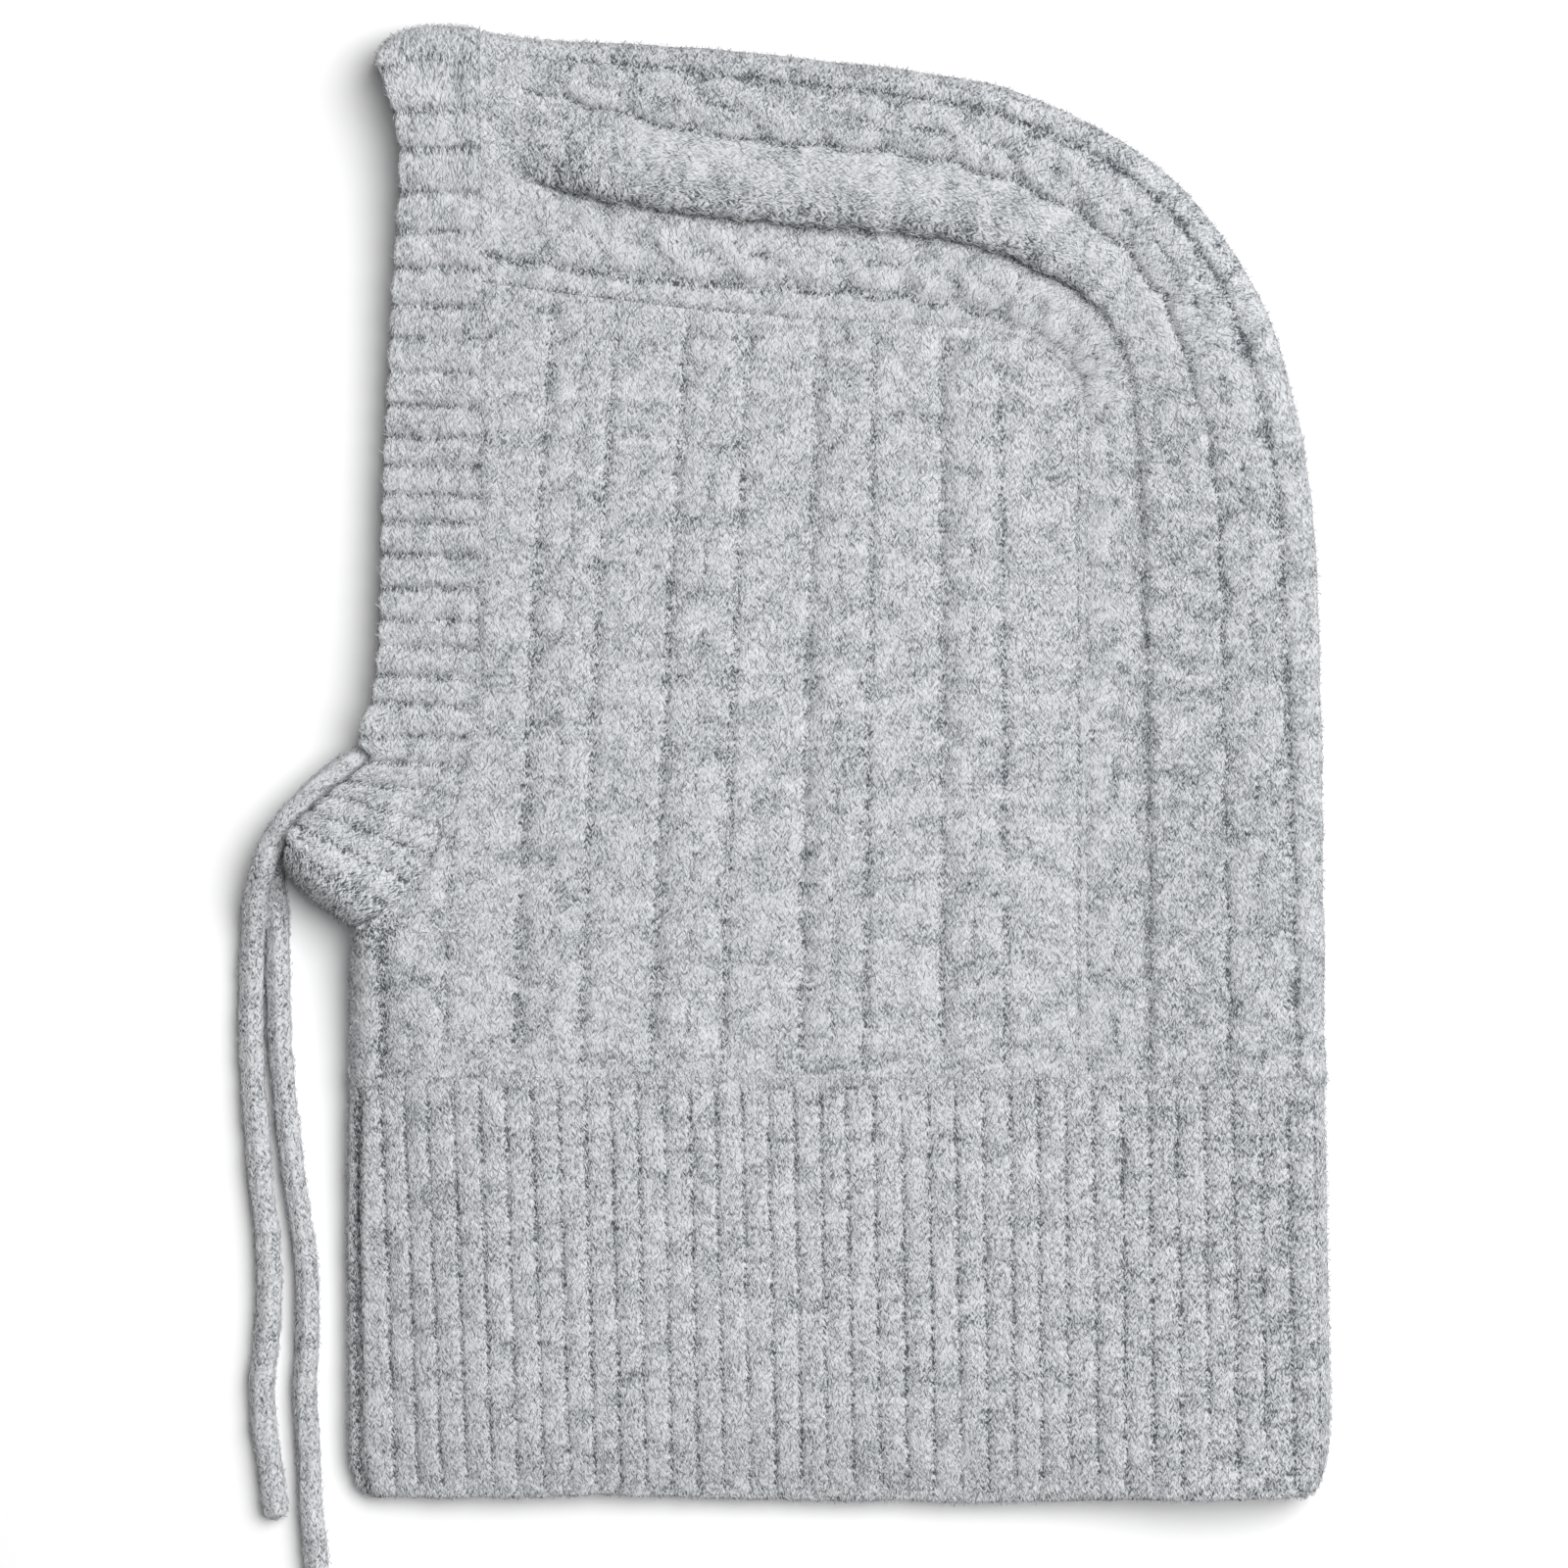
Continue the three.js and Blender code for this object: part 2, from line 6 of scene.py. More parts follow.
import bpy
import numpy as np
from bpy.props import FloatProperty
from bpy.props import FloatVectorProperty
from bpy.props import IntProperty
from bpy.props import PointerProperty
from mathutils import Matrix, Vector


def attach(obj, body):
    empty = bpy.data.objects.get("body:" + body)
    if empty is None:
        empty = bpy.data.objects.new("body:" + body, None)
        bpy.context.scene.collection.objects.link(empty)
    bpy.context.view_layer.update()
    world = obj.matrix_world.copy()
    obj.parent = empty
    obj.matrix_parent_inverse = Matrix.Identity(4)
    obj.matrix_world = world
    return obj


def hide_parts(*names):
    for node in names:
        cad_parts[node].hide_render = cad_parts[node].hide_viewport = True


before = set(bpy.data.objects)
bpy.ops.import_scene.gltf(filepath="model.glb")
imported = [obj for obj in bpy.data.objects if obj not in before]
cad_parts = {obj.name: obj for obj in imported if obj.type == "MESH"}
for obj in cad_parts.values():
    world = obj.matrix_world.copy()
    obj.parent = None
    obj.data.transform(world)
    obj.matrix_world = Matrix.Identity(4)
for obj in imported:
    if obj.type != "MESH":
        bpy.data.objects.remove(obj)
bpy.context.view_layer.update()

bl_info = {
    "name": "Knit balaclava",
    "version": (1, 0, 0),
    "blender": (4, 5, 0),
    "location": "View3D > Sidebar > Balaclava",
    "description": "Builds a brushed wool balaclava with cables, ribs and a drawcord",
    "category": "Add Mesh",
}

MM = 0.001

# Cross-section of the laid garment, as in the CAD
LAID_HEIGHT = 14.0
FOLD_REACH = 6.5
KNIT_THICKNESS = 3.0
RIB_THICKNESS = 3.2
BAND_SEAM_THICKNESS = 3.4
BAND_EDGE_THICKNESS = 4.3
BAND_EDGE_SHARE = 0.3
BAND_EDGE_LIFT = 1.2
HEM_LIP = 0.1
CREASE_DEPTH = 2.6
TABLE_CLEARANCE = 0.05

# The knit: height of a stitch, the same on the band, width of a stitch on the crown,
# width of one rib of the neck, and width of the face band
COURSE = 1.5
BAND_COURSE = 1.3
CROWN_WALE = 1.75
RIB_PITCH = 7.2
BAND_WIDTH = 27.0

# Where pieces meet
RIB_TOP = -85.6
SLIT_TOP = -45.6
BACK_SEAM_X = 75.1
PIECE_GAP = 0.012
BAND_GAP = 0.015
SEAM_LEVEL = -0.15
JOINT_LEVEL = 0.40

# Crown panel rows: inner edge on the side panel, outer edge at the fold
CROWN_ROWS = [
    (-87.6, 132.6, -88.2, 201.7),
    (-72.9, 130.4, -72.1, 199.5),
    (-54.0, 128.0, -51.8, 198.5),
    (-32.4, 125.3, -28.1, 197.1),
    (-5.4, 122.9, 1.6, 194.1),
    (18.9, 121.5, 29.7, 190.9),
    (37.8, 120.4, 56.7, 185.8),
    (52.7, 118.8, 81.0, 175.2),
    (63.5, 115.6, 101.5, 161.2),
    (70.7, 110.4, 116.1, 143.9),
    (74.2, 104.0, 127.4, 123.9),
    (75.1, 94.8, 134.5, 101.5),
    (75.1, 75.9, 139.1, 76.7),
    (75.1, 48.9, 141.2, 48.9),
    (75.1, 16.5, 142.3, 16.5),
    (75.1, -18.6, 142.8, -18.6),
    (75.1, -53.7, 143.1, -53.7),
    (75.1, RIB_TOP + PIECE_GAP, 143.4, RIB_TOP + PIECE_GAP),
]
STRAIGHT_BACK_FROM = 11

# Lines that run along the crown panel, as a share of its width at some of its rows
CROWN_LINES = [
    {"row": 0, "strip": 0.100, "crease": 0.440, "cable": 0.800, "ridge": 0.955},
    {"row": 1, "strip": 0.098, "crease": 0.417, "cable": 0.770, "ridge": 0.935},
    {"row": 2, "strip": 0.085, "crease": 0.383, "cable": 0.717, "ridge": 0.915},
    {"row": 3, "strip": 0.085, "crease": 0.363, "cable": 0.664, "ridge": 0.902},
    {"row": 5, "strip": 0.098, "crease": 0.361, "cable": 0.656, "ridge": 0.894},
    {"row": 6, "strip": 0.077, "crease": 0.350, "cable": 0.635, "ridge": 0.884},
    {"row": 7, "strip": 0.046, "crease": 0.330, "cable": 0.612, "ridge": 0.880},
    {"row": 8, "strip": 0.024, "crease": 0.312, "cable": 0.590, "ridge": 0.875},
    {"row": 9, "strip": 0.012, "crease": 0.296, "cable": 0.566, "ridge": 0.860},
    {"row": 10, "strip": 0.012, "crease": 0.278, "cable": 0.545, "ridge": 0.845},
    {"row": 11, "strip": 0.012, "crease": 0.266, "cable": 0.552, "ridge": 0.846},
    {"row": 12, "strip": 0.012, "crease": 0.271, "cable": 0.588, "ridge": 0.850},
    {"row": 14, "strip": 0.012, "crease": 0.282, "cable": 0.590, "ridge": 0.859},
    {"row": 17, "strip": 0.012, "crease": 0.300, "cable": 0.610, "ridge": 0.885},
]

# Face band rows from the chin fold to the crown fold: free edge and seam edge
BAND_ROWS = [
    (-142.0, -27.6, -122.2, -44.4),
    (-140.4, -22.6, -113.4, -39.3),
    (-136.9, -17.7, -106.7, -32.9),
    (-131.8, -12.9, -101.0, -24.6),
    (-126.6, -8.0, -96.9, -15.4),
    (-121.2, -3.1, -94.0, -5.9),
    (-118.2, 3.6, -91.5, 3.5),
    (-118.2, 13.8, -89.6, 12.4),
    (-116.6, 34.0, -88.8, 32.7),
    (-116.1, 48.9, -88.6, 48.3),
    (-115.8, 84.0, -88.3, 83.4),
    (-114.2, 116.4, -88.1, 116.1),
    (-112.9, 135.3, -88.1, 135.3),
    (-112.5, 156.9, -88.3, 156.9),
    (-113.4, 175.8, -88.6, 176.3),
    (-115.8, 187.9, -88.8, 190.3),
    (-117.0, 195.2, -88.8, 202.4),
]
# Bulges of the band at the crown fold, at the chin fold and from there towards the cord
CROWN_BULGE = 4.2
CHIN_BULGE = (-1.3, -1.4)
CHIN_REACH = 3.1
# Stretches where the free edge is drawn in: middle and reach as heights, and how far
BAND_PULLS = [(103.0, 30.0, 0.9), (168.0, 24.0, 2.0)]
# Its edge stands out over the cord's hole, below the crown fold and between two grooves
CORD_HOLE_Y = 7.2
CORD_HOLE_LIP = 3.9
CORNER_FLARE = 1.6
EDGE_PUFF = 0.9

# Front fold of the hood below the chin: height and place
FRONT_FOLD = [(RIB_TOP, -124.7), (-72.6, -124.7), (-59.1, -124.5), (SLIT_TOP, -123.7)]

# Left and right folds of the ribbed neck at each height, the last row is the hem
NECK_ROWS = [
    (RIB_TOP - PIECE_GAP, -124.7, 143.4),
    (-100.0, -125.3, 143.7),
    (-113.0, -125.8, 144.0),
    (-140.0, -125.9, 144.5),
    (-165.0, -125.7, 144.8),
    (-183.0, -125.5, 144.8),
    (-192.0, -125.0, 143.2),
    (-197.5, -122.8, 141.2),
    (-200.0, -118.5, 136.8),
]
HEM_SAG = [(-118, 0.7), (-100, 1.3), (-58, 0.5), (-16, 1.3), (27, 2.4), (70, 2.1), (110, 1.3),
           (130, 1.1), (141, 1.0)]
HEM_SAG_FROM = -150.0
HEM_RAGGED = 0.5

# Rib number, and where its groove lies near the top and near the hem of the neck
RIB_GROOVES = [
    (0, -123.9, -121.0),
    (1, -115.6, -112.9),
    (3, -103.1, -100.2),
    (12, -38.1, -36.5),
    (19, 11.9, 13.5),
    (26, 64.3, 65.3),
    (36, 140.6, 142.0),
]
RIB_GROOVE_HEIGHTS = (-101.0, -178.0)
RIB_COUNT = 36

# Purl lines of the side panel at its lower edge, from the front fold to the back seam;
# every second stretch between them is a cable
PURL_LINES = [-115.8, -98.8, -79.4, -61.0, -41.8, -22.1, -1.1, 17.0, 37.8, 55.9, BACK_SEAM_X]
# How strongly the lines between single columns show
SIDE_LINE_SHARE = 0.74
# The purl lines fan out towards the crown
PURL_LINE_FAN = 0.105
FAN_CENTRE_X = 37.8
FAN_FROM_Y = -85.0
FAN_SPAN = 180.0
FAN_LIMIT = 75.0
# The column below the chin opening ends at the band
CHIN_COLUMN_TOP = -12.0
CHIN_COLUMN_FADE = 14.0
# Cable stretches by number of their left purl line, with the height of one crossing
CABLE_CROSSINGS = {0: -52.0, 2: 22.0, 4: 14.0, 6: 13.0, 8: -4.0}
PLAIN_RISE = 0.35

# Length between two crossings of a cable, and where the crown's two cables start in it
CABLE_REPEAT = 21.0
CROWN_CABLE_REPEAT = 17.6
BACK_CABLE_REPEAT = 22.5
INNER_CABLE_START = 0.45
OUTER_CABLE_START = 0.15
# Two strands of a cable: how far they swing, half their width and how far the front one rises
STRAND_SWING = 0.41
STRAND_HALF_WIDTH = 0.58
STRAND_LEVEL = 0.80
FRONT_STRAND_RISE = 0.24
# The rolled strip on the crown: its rise, and the place where it starts in shade
ROLL_RISE = 2.3
ROLL_SHADE_X = -66.0
ROLL_SHADE_REACH = 19.0

# Middle of a purl groove of the face band, as a height along its straight part
BAND_GROOVES = [191.5, 179.4, 168.8, 156.9, 146.3, 136.1, 125.8, 116.9, 107.5, 98.6, 89.9,
                82.1, 74.0, 66.6, 57.5, 48.3, 39.7, 32.4, 24.3, 16.7, 7.6]
CHIN_GROOVE_PITCH = 7.4

# Broad swells and hollows of the upper layer: x, y, reach in x, reach in y, rise
SWELLS = [
    (0, 20, 70, 75, 1.2),
    (-20, 172, 60, 14, 0.9),
    (108, 70, 18, 70, 0.8),
    (-124, -48, 22, 30, 1.8),
    (10, -96, 110, 16, -0.8),
    (-60, -160, 45, 30, 0.5),
    (80, -175, 40, 26, 0.5),
    (-126, -150, 26, 72, -6.0),
    (-20, -208, 150, 17, -8.0),
    (-118, 84, 16, 62, -3.6),
    (-112, 187, 24, 26, 3.5),
    (118, -206, 28, 17, 6.0),
    (-132, -37, 17, 17, 6.5),
]

# Routes of the two cord ends, from the band to the free end
UPPER_CORD = [
    (-124.8, 0.3, 10.2), (-127.4, -1.5, 10.2), (-132.3, -5.1, 10.1), (-137.7, -10.5, 10.0),
    (-142.4, -15.9, 10.0), (-145.8, -21.3, 10.1), (-148.4, -28.1, 9.7), (-150.3, -34.8, 7.9),
    (-151.2, -43.5, 4.8), (-151.7, -53.7, 3.2), (-152.0, -69.9, 3.2), (-151.6, -85.3, 3.2),
    (-150.4, -100.7, 3.2), (-149.3, -116.1, 3.2), (-147.7, -128.5, 3.2), (-146.9, -143.9, 3.2),
    (-148.0, -159.3, 3.2), (-149.0, -171.2, 3.2), (-148.5, -182.5, 3.2), (-147.2, -190.4, 3.2),
    (-146.0, -197.9, 3.2), (-145.1, -207.4, 3.2),
]
UNDER_CORD = [
    (-124.8, 0.0, 3.2), (-127.4, -1.9, 3.2), (-132.3, -5.9, 3.2), (-137.7, -11.3, 3.2),
    (-142.6, -16.7, 3.2), (-145.5, -21.9, 3.2), (-146.5, -26.7, 3.2), (-145.9, -32.1, 3.2),
    (-145.0, -39.2, 3.2), (-144.6, -48.3, 3.2), (-144.5, -62.1, 3.2), (-144.0, -77.5, 3.2),
    (-142.5, -93.2, 3.2), (-140.9, -108.5, 3.2), (-138.8, -123.1, 3.2), (-136.9, -136.4, 3.2),
    (-136.5, -145.5, 3.2), (-136.8, -159.3, 3.2), (-137.2, -174.7, 3.2), (-136.2, -190.4, 3.2),
    (-135.4, -205.7, 3.2), (-133.9, -221.1, 3.2), (-133.0, -227.5, 3.2),
]
CORD_RADIUS = 3.05
CORD_COLUMNS = 10
CORD_COURSE = 1.4
# The upper cord's root, from inside the band to just past the start of its route
CORD_ROOT = [(-117.4, 3.7, 7.4), (-120.9, 2.5, 9.0), (-124.8, 0.3, 10.15), (-126.6, -0.9, 10.15)]

# The marl: patterns per metre, or per stitch, and how much each one darkens the wool
DRIFT_SCALE = 430.0
DRIFT_ACROSS = 0.62
DRIFT_ALONG = 0.8
STROKE_LEAN = 0.34
STROKE_ACROSS = 3.1
STROKE_ALONG = 1.05
PATCH_SCALE = 220.0
FLUFF_SCALE = 1300.0
STROKE_SHARE = 1.6
CLOUD_SHARE = 0.66
PATCH_SHARE = 0.60
FLUFF_SHARE = 0.30
STITCH_SHARE = 0.10
LINE_SHARE = 0.38
DARK_LEVEL = -1.08


def linear(hex_code):
    """A hex colour as linear red, green, blue and alpha."""
    channels = []
    for start in (0, 2, 4):
        value = int(hex_code[start:start + 2], 16) / 255
        if value <= 0.04045:
            channels.append(value / 12.92)
        else:
            channels.append(((value + 0.055) / 1.055) ** 2.4)
    return (*channels, 1.0)


# Sizes and colours a user would change

def colour_property(name, description, hex_code):
    return FloatVectorProperty(
        name=name, description=description, subtype="COLOR", size=4, min=0, max=1,
        default=linear(hex_code),
    )


def length_property(name, description, default):
    return FloatProperty(name=name, description=description, unit="LENGTH", default=default, min=0)


class WoolSettings(bpy.types.PropertyGroup):
    """The yarn and how it is knitted"""
    black_fibre: colour_property("Charcoal fibre", "Darkest fibres of the marl", "4E5256")
    dark_fibre: colour_property("Dark fibre", "Dark fibres of the marl", "7B7F83")
    grey_fibre: colour_property("Grey fibre", "Grey fibres of the marl", "AAADB0")
    pale_fibre: colour_property("Pale fibre", "Most common fibres of the marl", "CBCDD0")
    white_fibre: colour_property("White fibre", "Palest fibres of the marl", "E4E5E8")
    stitch_depth: length_property("Stitch depth", "How far the stitches stand out", 0.0006)


class ReliefSettings(bpy.types.PropertyGroup):
    """Depths of ribs, cables and seams"""
    rib_depth: length_property("Rib depth", "Depth of the neck's purl grooves", 0.0006)
    band_depth: length_property("Band depth", "Depth of the face band's grooves", 0.0011)
    purl_depth: length_property("Purl depth", "Depth of the lines beside the cables", 0.00025)
    cable_height: length_property("Cable height", "How far a cable strand stands out", 0.0010)
    ridge_depth: length_property("Ridge depth", "Depth of the line inside the outer ridge", 0.0012)


class FuzzSettings(bpy.types.PropertyGroup):
    """Loose fibres on the brushed surface"""
    density: FloatProperty(
        name="Density", description="Fibres per square metre where fuzz is thickest",
        default=915000, min=0,
    )
    length: length_property("Fibre length", "Length of a loose fibre", 0.0019)
    radius: length_property("Fibre radius", "Half the thickness of a loose fibre", 0.000067)
    seed: IntProperty(name="Seed", description="Random order of the fibres", default=7)
    dark: colour_property("Dark fibre", "Darkest loose fibres", "7E8286")
    pale: colour_property("Pale fibre", "Most common loose fibres", "C6C8CB")
    white: colour_property("White fibre", "Palest loose fibres", "E8E9EB")


class StageSettings(bpy.types.PropertyGroup):
    """Camera, floor and light"""
    image_width: length_property("View width", "Width that the camera sees", 0.432)
    camera_height: length_property("Camera height", "Height of the camera", 3.0)
    centre: FloatVectorProperty(
        name="View centre", description="Middle of the view on the table", size=2,
        subtype="XYZ", unit="LENGTH", default=(-0.0054, -0.0051),
    )
    floor_colour: colour_property("Floor colour", "Plain pale floor", "FCFCFC")
    sky: FloatProperty(
        name="Sky light", description="Strength of the even light", default=0.14, min=0,
    )
    key_size: length_property("Key size", "Diameter of the soft lamp", 3.0)
    key_place: FloatVectorProperty(
        name="Key place", description="Place of the soft lamp, to the right and above",
        size=3, subtype="XYZ", unit="LENGTH", default=(1.24, 0.66, 2.65),
    )
    key: FloatProperty(
        name="Key light", description="Strength of the large soft lamp", default=125.0, min=0,
        unit="POWER",
    )


# Curves and small maths

def smooth(value):
    value = np.clip(value, 0.0, 1.0)
    return value * value * (3 - 2 * value)


def mix(a, b, share):
    return a + (b - a) * share


def bell(distance, half_width):
    return np.exp(-(distance / half_width) ** 2)


def curve_at(points, share):
    """Places on a centripetal Catmull-Rom curve at shares from 0 to 1, the CAD's own curve."""
    knots = np.asarray(points, float)
    knots = np.vstack([2 * knots[0] - knots[1], knots, 2 * knots[-1] - knots[-2]])
    place = np.clip(np.asarray(share, float), 0, 1) * (len(knots) - 3)
    span = np.minimum(place.astype(int), len(knots) - 4)
    t = (place - span)[:, None]
    p0, p1, p2, p3 = (knots[span + k] for k in range(4))
    d0, d1, d2 = (
        np.sqrt(np.linalg.norm(b - a, axis=1))[:, None] for a, b in ((p0, p1), (p1, p2), (p2, p3))
    )
    start = ((p1 - p0) / d0 - (p2 - p0) / (d0 + d1) + (p2 - p1) / d1) * d1
    end = ((p2 - p1) / d1 - (p3 - p1) / (d1 + d2) + (p3 - p2) / d2) * d1
    return p1 + start * t + (3 * (p2 - p1) - 2 * start - end) * t**2 + (
        2 * (p1 - p2) + start + end) * t**3


def lengths_along(places):
    steps = np.linalg.norm(np.diff(places, axis=0), axis=1)
    return np.concatenate([[0.0], np.cumsum(steps)])


def even_shares(points, count, samples=1500):
    """Shares of a curve's knots that lie at even distances along it."""
    share = np.linspace(0, 1, samples)
    travelled = lengths_along(curve_at(points, share))
    return np.interp(np.linspace(0, travelled[-1], count), travelled, share)


def soft_noise(x, y, size, seed):
    """Smooth random field from -1 to 1 with blobs about as large as size."""
    table = np.random.RandomState(seed).uniform(-1, 1, (64, 64))
    gx = np.asarray(x) / size
    gy = np.asarray(y) / size
    ix = np.floor(gx).astype(int)
    iy = np.floor(gy).astype(int)
    fx = smooth(gx - ix)
    fy = smooth(gy - iy)
    corner = [[table[(ix + a) % 64, (iy + b) % 64] for b in (0, 1)] for a in (0, 1)]
    low = mix(corner[0][0], corner[1][0], fx)
    high = mix(corner[0][1], corner[1][1], fx)
    return mix(low, high, fy)


def from_fold(width, count):
    """Stations that start close together at a rounded fold."""
    return width * (np.arange(count) / count) ** 2


def between(start, end, count):
    """Stations from start up to, not including, end, closer together near both."""
    share = np.arange(count) / count
    return mix(start, end, share - 0.105 * np.sin(2 * np.pi * share))


# The laid garment's outer surface

def laid_height(x, y):
    height = np.full(np.shape(x), LAID_HEIGHT)
    for swell_x, swell_y, reach_x, reach_y, rise in SWELLS:
        away = ((x - swell_x) / reach_x) ** 2 + ((y - swell_y) / reach_y) ** 2
        height = height + rise * np.exp(-away)
    return height


def outer_surface(x, y, upper, fold, lift=0.0):
    """Points of the outer surface; fold is the distance in from the nearest rounded fold."""
    height = laid_height(x, y) + lift
    inward = 1 - np.minimum(fold, FOLD_REACH) / FOLD_REACH
    rounding = np.sqrt(np.clip(1 - inward**2, 0, 1))
    side = np.where(upper, 1.0, -1.0)
    return np.stack([x, y, height / 2 * (1 + side * rounding)], axis=-1)


# Relief of the knit, in millimetres; a second number says how deep in a groove a place lies and
# darkens the wool there as painted shade, and it also carries the dark purl and seam lines.
# The last number of each soft_noise is its seed.

def rope(across, along, repeat, crossing):
    """A two-strand cable. across runs -1 to 1, the front strand climbs from left to right."""
    turn = np.pi * (along - crossing) / repeat
    turn = turn - 0.28 * np.sin(2 * turn)
    swing = STRAND_SWING * np.cos(turn)
    front = np.sin(turn)
    strands = []
    for centre, near in ((-swing, front), (swing, -front)):
        body = np.clip(1 - ((across - centre) / STRAND_HALF_WIDTH) ** 2, 0, 1) ** 0.75
        strands.append(body * (STRAND_LEVEL + FRONT_STRAND_RISE * near))
    height = np.maximum(*strands)
    # The parting between the strands and the low ground beside them are painted as shade
    parting = bell(strands[0] - strands[1], 0.15) * smooth(np.minimum(*strands) / 0.3)
    shade_and_lines = np.maximum(parting * 0.65, 0.4 * (1 - smooth(height / 0.4)))
    return height, shade_and_lines


def purl_line_x(number, y):
    """Place of a purl line of the side panel at each height; number may be fractional."""
    base = np.interp(number, np.arange(len(PURL_LINES)), PURL_LINES)
    rise = np.clip((y - FAN_FROM_Y) / FAN_SPAN, 0, 1.25)
    lean = PURL_LINE_FAN * (0.55 * rise + 0.45 * rise**2)
    # The fan dies out towards the straight back seam
    share = np.clip((BACK_SEAM_X - base) / (BACK_SEAM_X - PURL_LINES[-2]), 0, 1)
    away = FAN_CENTRE_X - base
    away = np.minimum(away, mix(FAN_LIMIT, away, 0.15))
    return base + away * lean * share


def side_panel_relief(x, y, relief):
    """Alternate plain and cabled columns between purl lines."""
    wobble = 0.35 * soft_noise(x, y, 5.5, 11)
    lines = [purl_line_x(k, y) for k in range(len(PURL_LINES))]
    height = 0.25 * soft_noise(x, y, 9.0, 12)
    shade_and_lines = np.zeros(np.shape(x))
    below_chin = 1 - smooth((y - CHIN_COLUMN_TOP) / CHIN_COLUMN_FADE)
    for k, (line, following) in enumerate(zip(lines, lines[1:])):
        here = below_chin if k < 2 else 1.0
        uneven = 0.85 + 0.35 * soft_noise(x * 0.2 + 30 * k, y, 4.0, 13)
        groove = bell(x + wobble - line, 1.5)
        height = height - relief.purl_depth / MM * uneven * here * groove
        if k in CABLE_CROSSINGS:
            left = line + 0.6
            right = following - 0.6
            inside = (x > left) & (x < right)
            across = 2 * (x - left) / (right - left) - 1 + 0.06 * wobble
            strand, gap = rope(across, y + 1.5 * wobble, CABLE_REPEAT, CABLE_CROSSINGS[k])
            height = height + np.where(inside, 1.25 * relief.cable_height / MM * strand, 0) * here
            # The cable's partings carry painted shade
            shade_and_lines = np.maximum(shade_and_lines, np.where(inside, gap * 0.95, 0) * here)
        else:
            middle = np.clip((x - line) * (following - x) / 40, 0, 1)
            height = height + PLAIN_RISE * smooth(middle)
    return height, shade_and_lines


# Turning grids into closed knit

def surface_normals(grid, closed):
    if closed:
        along = np.roll(grid, -1, axis=1) - np.roll(grid, 1, axis=1)
    else:
        along = np.gradient(grid, axis=1)
    across = np.gradient(grid, axis=0)
    normal = np.cross(along, across)
    normal /= np.maximum(np.linalg.norm(normal, axis=2, keepdims=True), 1e-9)
    outwards = np.sum(normal[..., 2] * (grid[..., 2] - LAID_HEIGHT / 2))
    return normal if outwards > 0 else -normal


def lift_from_table(points):
    """Keeps every point on or above the table."""
    points[..., 2] = np.maximum(points[..., 2], TABLE_CLEARANCE)
    return points


